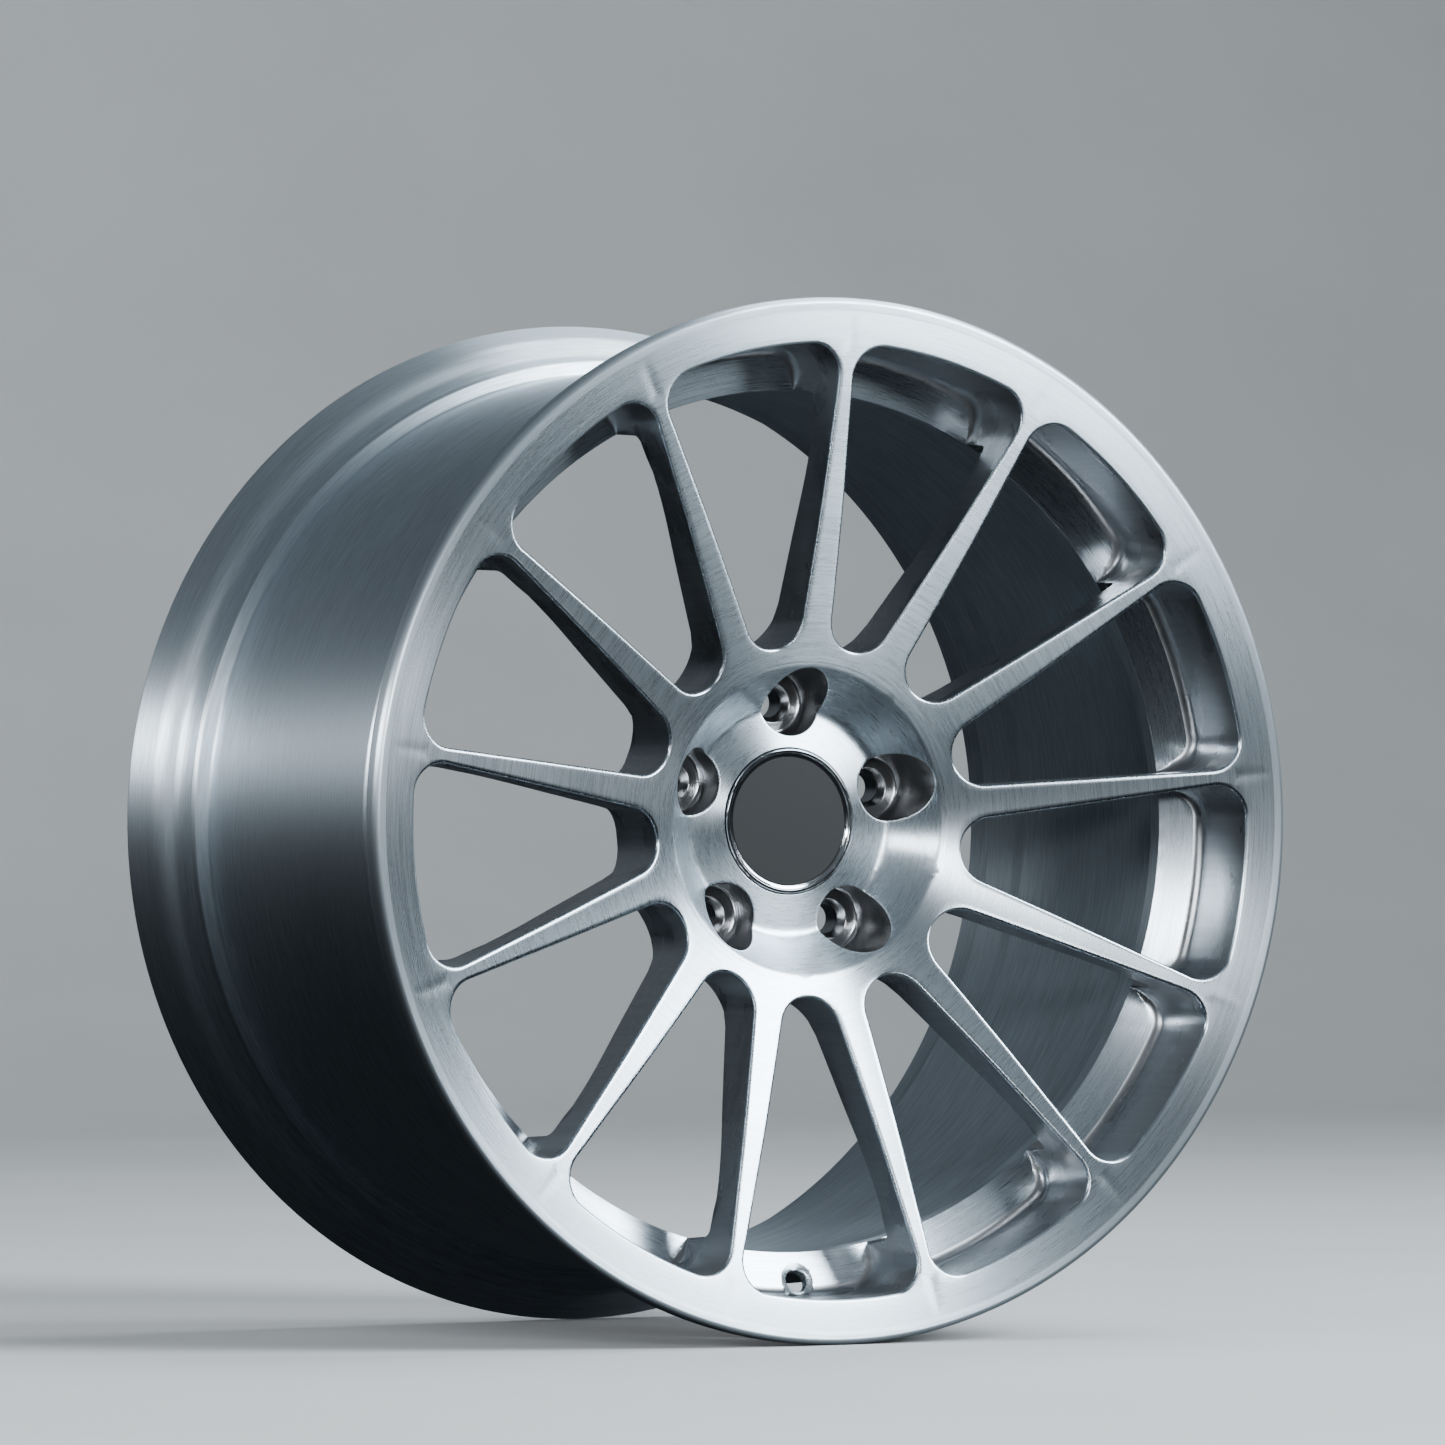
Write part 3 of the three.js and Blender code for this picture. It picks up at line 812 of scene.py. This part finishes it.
def stitch_ring(shell, a, b, centre, finish):
    """Triangles between two rings round an axis of their own."""
    shift = np.array([centre[0], 0, centre[2]])
    before = len(shell.points)
    shell.stitch(a - shift, b - shift, finish)
    for i in range(before, len(shell.points)):
        shell.points[i] = shell.points[i] + shift


# --- Forging ---

FORGING_NODES = (
    ["hub_centre", "face_ring", "front_bead_seat", "drop_centre", "barrel", "rear_flange"]
    + ["spoke_%02d" % (k + 1) for k in range(SPOKES)]
)


def make_forging(finishes):
    """The whole wheel as one mesh."""
    shell = Shell()
    circles = window_sheets(shell)
    rim(shell, circles)
    hub(shell, circles)
    forging = shell.make("forging", *finishes)
    drill(forging, valve_cutter())
    return forging


def valve_cutter():
    """The tool for the valve hole: square to the ramp, straight down from the axis, with a spot face."""
    outline = [
        (VALVE_SPOT_FACE, -20), (VALVE_SPOT_FACE, VALVE_SPOT_DEPTH),
        (VALVE_RADIUS + VALVE_CHAMFER, VALVE_SPOT_DEPTH), (VALVE_RADIUS, VALVE_SPOT_DEPTH + VALVE_CHAMFER),
        (VALVE_RADIUS, 20),
    ]
    work = bmesh.new()
    turns = np.arange(VALVE_STEPS) * 2 * math.pi / VALVE_STEPS
    rings = [[work.verts.new((r * math.cos(a), d, r * math.sin(a))) for a in turns] for r, d in outline]
    for a, b in zip(rings, rings[1:]):
        for k in range(VALVE_STEPS):
            after = (k + 1) % VALVE_STEPS
            work.faces.new((a[k], a[after], b[after], b[k]))
    work.faces.new(rings[0])
    work.faces.new(rings[-1])
    bmesh.ops.recalc_face_normals(work, faces=work.faces)
    mesh = bpy.data.meshes.new("valve_cutter")
    work.to_mesh(mesh)
    work.free()
    cutter = add_object("valve_cutter", mesh)
    slope = math.atan2(RAMP_END - RAMP_TOP, WINDOW_RADIUS - WELL_INNER_RADIUS)
    place = Vector((0, FACE_Y + ramp_depth(VALVE_CENTRE), -VALVE_CENTRE)) * MM
    cutter.matrix_world = Matrix.Translation(place) @ Matrix.Rotation(-slope, 4, "X") @ Matrix.Scale(MM, 4)
    return cutter


def drill(piece, cutter):
    """Cuts a tool's shape out of a piece, and removes the tool."""
    cut = piece.modifiers.new("cut", "BOOLEAN")
    cut.object = cutter
    cut.operation = "DIFFERENCE"
    cut.solver = "MANIFOLD"
    bpy.context.view_layer.update()
    drilled = bpy.data.meshes.new_from_object(piece.evaluated_get(bpy.context.evaluated_depsgraph_get()))
    piece.modifiers.remove(cut)
    piece.data = drilled
    drilled.set_sharp_from_angle(angle=SHARP_ANGLE)
    bpy.data.objects.remove(cutter)


# --- Materials ---

NOISE_SPAN = (0.3, 0.7)


class Paint:
    """A node material under construction: a Principled shader and short ways to add nodes to it."""

    def __init__(self, name, colour, metallic, roughness):
        self.material = bpy.data.materials.new(name)
        self.material.use_nodes = True
        self.tree = self.material.node_tree
        self.shader = self.tree.nodes["Principled BSDF"]
        self.set("Base Color", (*colour, 1))
        self.set("Metallic", metallic)
        self.set("Roughness", roughness)

    def set(self, socket, value):
        self.shader.inputs[socket].default_value = value

    def link(self, source, socket):
        self.tree.links.new(source, self.shader.inputs[socket])

    def node(self, kind, inputs=(), **settings):
        """Adds a node. Inputs are sockets or values, in the order of the node's own inputs or by name."""
        made = self.tree.nodes.new(kind)
        for key, value in settings.items():
            setattr(made, key, value)
        pairs = inputs.items() if isinstance(inputs, dict) else enumerate(inputs)
        for key, value in pairs:
            if isinstance(value, bpy.types.NodeSocket):
                self.tree.links.new(value, made.inputs[key])
            else:
                made.inputs[key].default_value = value
        return made

    def math(self, operation, *inputs):
        """A Math node's result. Sockets and plain numbers may be mixed."""
        return self.node("ShaderNodeMath", inputs, operation=operation).outputs[0]

    def place(self):
        """X, Y and Z of a point on the object."""
        place = self.node("ShaderNodeTexCoord").outputs["Object"]
        return self.node("ShaderNodeSeparateXYZ", [place]).outputs

    def wheel_place(self):
        """Radius, cosine and sine of the turn, and place along the axis."""
        x, y, z = self.place()
        squares = self.math("ADD", self.math("MULTIPLY", x, x), self.math("MULTIPLY", z, z))
        radius = self.math("SQRT", squares)
        return radius, self.math("DIVIDE", x, radius), self.math("DIVIDE", z, radius), y

    def noise(self, scales, coordinates, detail=2.0):
        """Noise over up to four coordinates, each with a scale of its own."""
        scaled = [self.math("MULTIPLY", c, k) for c, k in zip(coordinates, scales)]
        vector = self.node("ShaderNodeCombineXYZ", scaled[:3]).outputs[0]
        inputs = {"Vector": vector, "Scale": 1.0, "Detail": detail}
        if len(scaled) == 4:
            inputs["W"] = scaled[3]
        made = self.node("ShaderNodeTexNoise", inputs, noise_dimensions="4D" if len(scaled) == 4 else "3D")
        return made.outputs[0]

    def remap(self, value, low, high):
        """The usual span of a noise, brought to lie between low and high."""
        return self.node("ShaderNodeMapRange", [value, *NOISE_SPAN, low, high]).outputs[0]

    def tint(self, value, dark, light, span=NOISE_SPAN):
        """A colour between two, by a value."""
        ramp = self.node("ShaderNodeValToRGB", [value])
        ramp.color_ramp.elements[0].position, ramp.color_ramp.elements[1].position = span
        ramp.color_ramp.elements[0].color = (*dark, 1)
        ramp.color_ramp.elements[1].color = (*light, 1)
        return ramp.outputs[0]

    def bump(self, height, strength, distance):
        inputs = {"Height": height, "Strength": strength, "Distance": distance}
        self.link(self.node("ShaderNodeBump", inputs).outputs[0], "Normal")


ALUMINIUM = (0.74, 0.82, 0.89)
# The milled greys are darker and more neutral than the turned aluminium: painted shade of the windows' walls,
# the ramps' fillets and the rears of the spokes and hub. The darker one is the tone of the mill's marks.
MILLED_WITH_PAINTED_SHADE = (0.64, 0.65, 0.67)
MILLED_MARKS_WITH_PAINTED_SHADE = (0.57, 0.58, 0.60)
# The drilled greys are darker and more neutral than the turned aluminium: painted shade of the lug pockets.
# The darker one is the tone of the drilling's rings.
DRILLED_WITH_PAINTED_SHADE = (0.55, 0.55, 0.56)
DRILLED_RINGS_WITH_PAINTED_SHADE = (0.47, 0.47, 0.48)


def lathe_metal(name, roughness, anisotropy, groove, streak, depth):
    """Bare aluminium off the lathe: tool marks round the axis, and a highlight drawn out across them.

    groove is how many marks there are to a metre, streak how many follow each other in a radian, and
    depth how much darker the deepest are.
    """
    paint = Paint(name, ALUMINIUM, 1, roughness)
    radius, cosine, sine, along = paint.wheel_place()
    marks = paint.noise((groove, 3, 3, groove), (radius, cosine, sine, along), detail=3)
    coarse = groove * 0.6
    scratches = paint.noise((coarse, streak, streak, coarse), (radius, cosine, sine, along), detail=2)
    broad = paint.noise((45, 1.6, 1.6, 45), (radius, cosine, sine, along), detail=2)
    most = paint.math("ADD", paint.math("MULTIPLY", scratches, 0.55), paint.math("MULTIPLY", broad, 0.15))
    mixed = paint.math("ADD", paint.math("MULTIPLY", marks, 0.3), most)
    dark = tuple(c * (1 - depth) for c in ALUMINIUM)
    paint.link(paint.tint(mixed, dark, ALUMINIUM, (0.36, 0.6)), "Base Color")
    paint.link(paint.remap(mixed, roughness + 0.04, roughness - 0.04), "Roughness")
    paint.bump(paint.math("ADD", marks, scratches), 0.03, 0.0001)
    paint.set("Anisotropic", anisotropy)
    paint.set("Anisotropic Rotation", 0.25)
    paint.link(paint.node("ShaderNodeTangent", direction_type="RADIAL", axis="Y").outputs[0], "Tangent")
    return paint.material


def milled_metal_with_painted_shade(name, roughness):
    """Aluminium cut by the side of an end mill, which leaves faint marks along the axis; its grey is darker
    than the turned faces, painted shade of the walls, fillets and rear faces it covers.
    """
    paint = Paint(name, MILLED_WITH_PAINTED_SHADE, 1, roughness)
    x, y, z = paint.place()
    marks = paint.noise((420, 25, 420), (x, y, z), detail=3)
    broad = paint.noise((30, 60, 30), (x, y, z), detail=2)
    paint.link(paint.tint(marks, MILLED_MARKS_WITH_PAINTED_SHADE, MILLED_WITH_PAINTED_SHADE), "Base Color")
    paint.link(paint.remap(broad, roughness - 0.05, roughness + 0.07), "Roughness")
    paint.bump(marks, 0.05, 0.0001)
    return paint.material


def drilled_metal_with_painted_shade(name, roughness):
    """The shiny bores of the lug pockets, in a grey darker than the turned faces: painted shade of the
    pockets.
    """
    paint = Paint(name, DRILLED_WITH_PAINTED_SHADE, 1, roughness)
    x, y, z = paint.place()
    rings = paint.noise((40, 1600, 40), (x, y, z), detail=1)
    paint.link(paint.tint(rings, DRILLED_RINGS_WITH_PAINTED_SHADE, DRILLED_WITH_PAINTED_SHADE), "Base Color")
    paint.link(paint.remap(rings, roughness - 0.03, roughness + 0.03), "Roughness")
    paint.bump(rings, 0.03, 0.00005)
    return paint.material


def chrome(name):
    """Bright plating, very slightly cloudy."""
    paint = Paint(name, (0.8, 0.82, 0.86), 1, 0.07)
    x, y, z = paint.place()
    cloud = paint.noise((120, 120, 120), (x, y, z), detail=2)
    paint.link(paint.remap(cloud, 0.05, 0.12), "Roughness")
    return paint.material


def moulded_plastic(name, colour, roughness, specular=0.5):
    """Plastic with the fine grain of its mould."""
    paint = Paint(name, colour, 0, roughness)
    x, y, z = paint.place()
    grain = paint.noise((1800, 1800, 1800), (x, y, z), detail=2)
    light = tuple(c * 1.15 for c in colour)
    paint.link(paint.tint(grain, colour, light), "Base Color")
    paint.link(paint.remap(grain, roughness - 0.05, roughness + 0.05), "Roughness")
    paint.bump(grain, 0.1, 0.00005)
    paint.set("Specular IOR Level", specular)
    return paint.material


def spring_steel(name):
    """Drawn wire, unevenly grey."""
    paint = Paint(name, (0.5, 0.51, 0.52), 1, 0.3)
    x, y, z = paint.place()
    grain = paint.noise((300, 300, 300), (x, y, z), detail=3)
    paint.link(paint.tint(grain, (0.4, 0.41, 0.42), (0.55, 0.56, 0.57)), "Base Color")
    return paint.material


# --- Centre cap ---

CAP_FACE_RADIUS = 32.4
CAP_FACE_DEPTH = CAP_DEPTH + 1.2
CAP_FLANGE_BACK = RECESS_DEPTH - 0.3
CAP_FLANGE_FRONT = CAP_FLANGE_BACK - 1.2
CLIP_TUBE_RADIUS = 31.2
CLIP_TUBE_BORE = 29.4
CLIP_TUBE_END = 70.0
CLIP_SLOTS = 8
CLIP_SLOT_WIDTH = 5.0
CLIP_BARB_RADIUS = 31.8
CLIP_COLUMNS = 14  # points across each finger
CAP_FACE_CROWN = 0.35
MIDDLE = 0.5  # radius of the small ring that closes to a point on the axis
WIRE_RADIUS = 0.8


def closed_lathe(name, outline, steps, finish):
    """A ring of a closed radius-depth outline, as one piece."""
    shell = Shell()
    outline = np.concatenate([outline, outline[:1]])
    lathe(shell, outline, steps)
    return shell.make(name, finish)


def make_trim_ring(finish):
    """A narrow bright lip, a groove inside it, and a bevel that drops to the face."""
    bore, back = CAP_FACE_RADIUS + 0.25, CAP_FLANGE_FRONT - 0.2
    bevel = [(bore, back - 0.4), (bore, CAP_FACE_DEPTH + 0.1, 0.12), (CAP_RADIUS - 3.0, CAP_FACE_DEPTH, 0.4)]
    groove = [(CAP_RADIUS - 2.1, CAP_DEPTH + 0.8, 0.3), (CAP_RADIUS - 1.7, CAP_DEPTH, 0.25)]
    lip = [(CAP_RADIUS - 0.4, CAP_DEPTH, 0.35), (CAP_RADIUS, CAP_DEPTH + 0.6, 0.35)]
    outline = rounded(bevel + groove + lip + [(CAP_RADIUS, back), (bore, back)])
    return closed_lathe("trim_ring", outline, 160, finish)


def make_cap_face(finish):
    """A round plate, barely domed, with a rounded edge."""
    shell = Shell()
    edge, back = 0.4, CAP_FLANGE_FRONT - 0.25
    radii = np.linspace(MIDDLE, CAP_FACE_RADIUS - edge, 14)
    crown = CAP_FACE_DEPTH + CAP_FACE_CROWN * (radii / CAP_FACE_RADIUS) ** 2 - CAP_FACE_CROWN
    side = arc(CAP_FACE_RADIUS - edge, CAP_FACE_DEPTH + edge - 0.02, edge, -90, 0, 4)
    outline = list(zip(radii, crown)) + side + [(CAP_FACE_RADIUS, back), (MIDDLE, back)]
    for ring in lathe(shell, outline, CAP_STEPS):
        middle = np.array([0, ring[:, 1].mean(), 0])
        shell.grid(np.array([ring, np.tile(middle, (len(ring), 1))]), closed=True)
    return shell.make("cap_plate", finish)


def make_spring(finish):
    """The wire ring inside the clip fingers."""
    r, d = CLIP_TUBE_BORE - WIRE_RADIUS - 0.3, CLIP_TUBE_END - 4
    outline = np.array(arc(r, d, WIRE_RADIUS, 0, 360, 16)[:-1])
    return closed_lathe("spring_wire", outline, CAP_STEPS, finish)


def clip_turns():
    """The turns of the points across the clip fingers, one row for each finger."""
    half_slot = math.asin(CLIP_SLOT_WIDTH / 2 / CLIP_TUBE_RADIUS)
    across = np.linspace(-1, 1, CLIP_COLUMNS) * (math.pi / CLIP_SLOTS - half_slot)
    middles = (np.arange(CLIP_SLOTS) + 0.5) * 2 * math.pi / CLIP_SLOTS
    return middles[:, None] + across


def cap_cup(shell, turns, slot_start):
    """The flange and the tube behind it, as far as the slots between the fingers."""
    edge, floor = CAP_RADIUS - 0.5, CAP_FLANGE_BACK + 1
    flange = rounded([
        (MIDDLE, CAP_FLANGE_FRONT), (edge, CAP_FLANGE_FRONT, 0.3), (edge, CAP_FLANGE_BACK, 0.3),
        (CLIP_TUBE_RADIUS, CAP_FLANGE_BACK, 0.3), (CLIP_TUBE_RADIUS, slot_start),
    ], steps=3)
    inside = [(CLIP_TUBE_BORE, slot_start), (CLIP_TUBE_BORE, floor), (MIDDLE, floor)]
    for outline in (flange, inside):
        shell.grid([spin(r, turns, d) for r, d in outline], closed=True)
    for depth in (CAP_FLANGE_FRONT, floor):
        centre = np.tile([0, FACE_Y + depth, 0], (len(turns), 1))
        shell.grid([spin(MIDDLE, turns, depth), centre], closed=True)


def clip_finger(shell, turns, slot_start):
    """One finger of the tube, with a barb round its end."""
    barb = [
        (CLIP_TUBE_RADIUS, slot_start), (CLIP_TUBE_RADIUS, CLIP_TUBE_END - 3),
        (CLIP_BARB_RADIUS, CLIP_TUBE_END - 1.6), (CLIP_BARB_RADIUS - 0.1, CLIP_TUBE_END - 1.2),
        (CLIP_TUBE_RADIUS, CLIP_TUBE_END), (CLIP_TUBE_BORE, CLIP_TUBE_END), (CLIP_TUBE_BORE, slot_start),
    ]
    rows = np.array([spin(r, turns, d) for r, d in barb])
    shell.grid(rows)
    for side in (rows[:, 0], rows[:, -1]):
        shell.grid([side[:5], side[[6, 6, 6, 5, 5]]])


def make_cap_body(finish):
    """A flanged cup whose tube is slotted into clip fingers."""
    shell = Shell()
    slot_start = CAP_FLANGE_BACK + 2
    fingers = clip_turns()
    cap_cup(shell, fingers.ravel(), slot_start)
    for finger, after in zip(fingers, np.roll(fingers, -1, axis=0)):
        clip_finger(shell, finger, slot_start)
        slot = np.array([finger[-1], after[0]])
        shell.grid([spin(r, slot, slot_start) for r in (CLIP_TUBE_RADIUS, CLIP_TUBE_BORE)])
    return shell.make("cap_cup", finish)


# --- Scene ---

CAMERA_AZIMUTH = math.radians(-28.881)
CAMERA_ELEVATION = math.radians(-0.854)
CAMERA_DISTANCE = 4.3476
CAMERA_SIDESTEP = -0.06021
CAMERA_RISE = 0.04891
CAMERA_LENS = 217.49


def make_camera():
    """A long lens on the wheel's left front, at the height of its axis."""
    data = bpy.data.cameras.new("camera")
    data.lens = CAMERA_LENS
    data.sensor_width = 36
    data.clip_end = 100
    camera = add_object("camera", data)
    level = math.cos(CAMERA_ELEVATION)
    back = Vector((
        math.sin(CAMERA_AZIMUTH) * level,
        -math.cos(CAMERA_AZIMUTH) * level,
        math.sin(CAMERA_ELEVATION),
    ))
    right = Vector((math.cos(CAMERA_AZIMUTH), math.sin(CAMERA_AZIMUTH), 0))
    up = back.cross(right)
    aside = right * CAMERA_SIDESTEP + up * CAMERA_RISE
    camera.location = aside + back * CAMERA_DISTANCE + Vector((0, FACE_Y * MM, 0))
    camera.rotation_mode = "QUATERNION"
    camera.rotation_quaternion = Matrix((right, up, back)).transposed().to_quaternion()
    bpy.context.scene.camera = camera


def make_stage():
    """A pale floor that sweeps up into a backdrop behind the wheel."""
    half, front, back, bend, height = 9.0, -7.0, 5.0, 2.0, 6.0
    floor = CAD_LOW.z
    sweep = arc(back - bend, floor + bend, bend, -90, 0, 12)
    line = [(front, floor)] + sweep + [(back, floor + height)]
    points = [(x, y, h) for x in (-half, half) for y, h in line]
    n = len(line)
    mesh = bpy.data.meshes.new("backdrop")
    mesh.from_pydata(points, [], [(k, k + 1, n + k + 1, n + k) for k in range(n - 1)])
    mesh.polygons.foreach_set("use_smooth", [True] * len(mesh.polygons))
    backdrop = add_object("backdrop", mesh)
    paint = Paint("backdrop", (0.80, 0.79, 0.78), 0, 0.9)
    x, y, z = paint.place()
    cloud = paint.noise((3, 3, 3), (x, y, z), detail=3)
    paint.link(paint.tint(cloud, (0.79, 0.78, 0.77), (0.84, 0.83, 0.82)), "Base Color")
    paint.set("Specular IOR Level", 0.1)
    mesh.materials.append(paint.material)
    backdrop.visible_glossy = False


SKY_WHITE = (0.84, 0.94, 1.0)
SOFT_WHITE = (0.90, 0.96, 1.0)


def area_light(name, toward, distance, size, power, colour):
    """A rectangular softbox in a direction from the wheel, facing it."""
    data = bpy.data.lights.new(name, "AREA")
    data.shape = "RECTANGLE"
    data.size, data.size_y = size
    data.energy = power
    data.color = colour
    light = add_object(name, data)
    place = Vector(toward).normalized() * distance
    light.location = place
    light.rotation_euler = (-place).to_track_quat("-Z", "Y").to_euler()


def make_lights():
    """A dim room, a large softbox up to the right, one overhead, and strips to the left and in front."""
    make_room()
    area_light("softbox", (0.565, -0.70, 0.43), 3.5, (1.5, 2.2), 200, SKY_WHITE)
    area_light("side_strip", (-0.90, -0.15, 0.23), 3.0, (2.8, 0.4), 48, SOFT_WHITE)
    area_light("front_strip", (-0.12, -0.98, 0.145), 3.0, (1.2, 0.2), 26, SOFT_WHITE)
    area_light("overhead", (0.45, 0.1, 0.9), 3.0, (1.6, 1.6), 40, SKY_WHITE)


def make_room():
    """Faint light from all round, darker from below."""
    world = bpy.data.worlds.new("world")
    bpy.context.scene.world = world
    world.use_nodes = True
    nodes, links = world.node_tree.nodes, world.node_tree.links
    background = nodes["Background"]
    place = nodes.new("ShaderNodeTexCoord")
    split = nodes.new("ShaderNodeSeparateXYZ")
    ramp = nodes.new("ShaderNodeValToRGB")
    links.new(place.outputs["Generated"], split.inputs[0])
    links.new(split.outputs[2], ramp.inputs[0])
    links.new(ramp.outputs[0], background.inputs[0])
    ramp.color_ramp.elements[0].position = 0.0
    ramp.color_ramp.elements[0].color = (0.012, 0.014, 0.016, 1)
    ramp.color_ramp.elements[1].position = 0.4
    ramp.color_ramp.elements[1].color = (0.10, 0.116, 0.13, 1)
    background.inputs[1].default_value = 1.0


def place_piece(piece, body, slot, *replaced):
    """Lets a piece ride on a body, in place of CAD nodes. The slot is not used."""
    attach(piece, body)
    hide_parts(*replaced)


make_camera()
make_stage()
make_lights()

forging = make_forging([
    lathe_metal("turned_face", 0.28, 0.9, 2400, 7, 0.045),
    milled_metal_with_painted_shade("milled_wall_painted_shade", 0.28),
    drilled_metal_with_painted_shade("drilled_pocket_painted_shade", 0.22),
    lathe_metal("turned_barrel", 0.34, 0.85, 1300, 15, 0.3),
])
place_piece(forging, "wheel", "forged_aluminium", *FORGING_NODES)

cap_body = make_cap_body(moulded_plastic("cap_plastic", (0.03, 0.032, 0.035), 0.45))
place_piece(cap_body, "cap", "cap_plastic", "cap_body")
trim_ring = make_trim_ring(chrome("trim_chrome"))
place_piece(trim_ring, "cap", "bright_trim", "cap_trim_ring")
cap_face = make_cap_face(moulded_plastic("cap_paint", (0.026, 0.026, 0.027), 0.5, specular=0.15))
place_piece(cap_face, "cap", "cap_face", "cap_face")
cap_spring = make_spring(spring_steel("spring_steel"))
place_piece(cap_spring, "cap", "spring_steel", "cap_spring_ring")
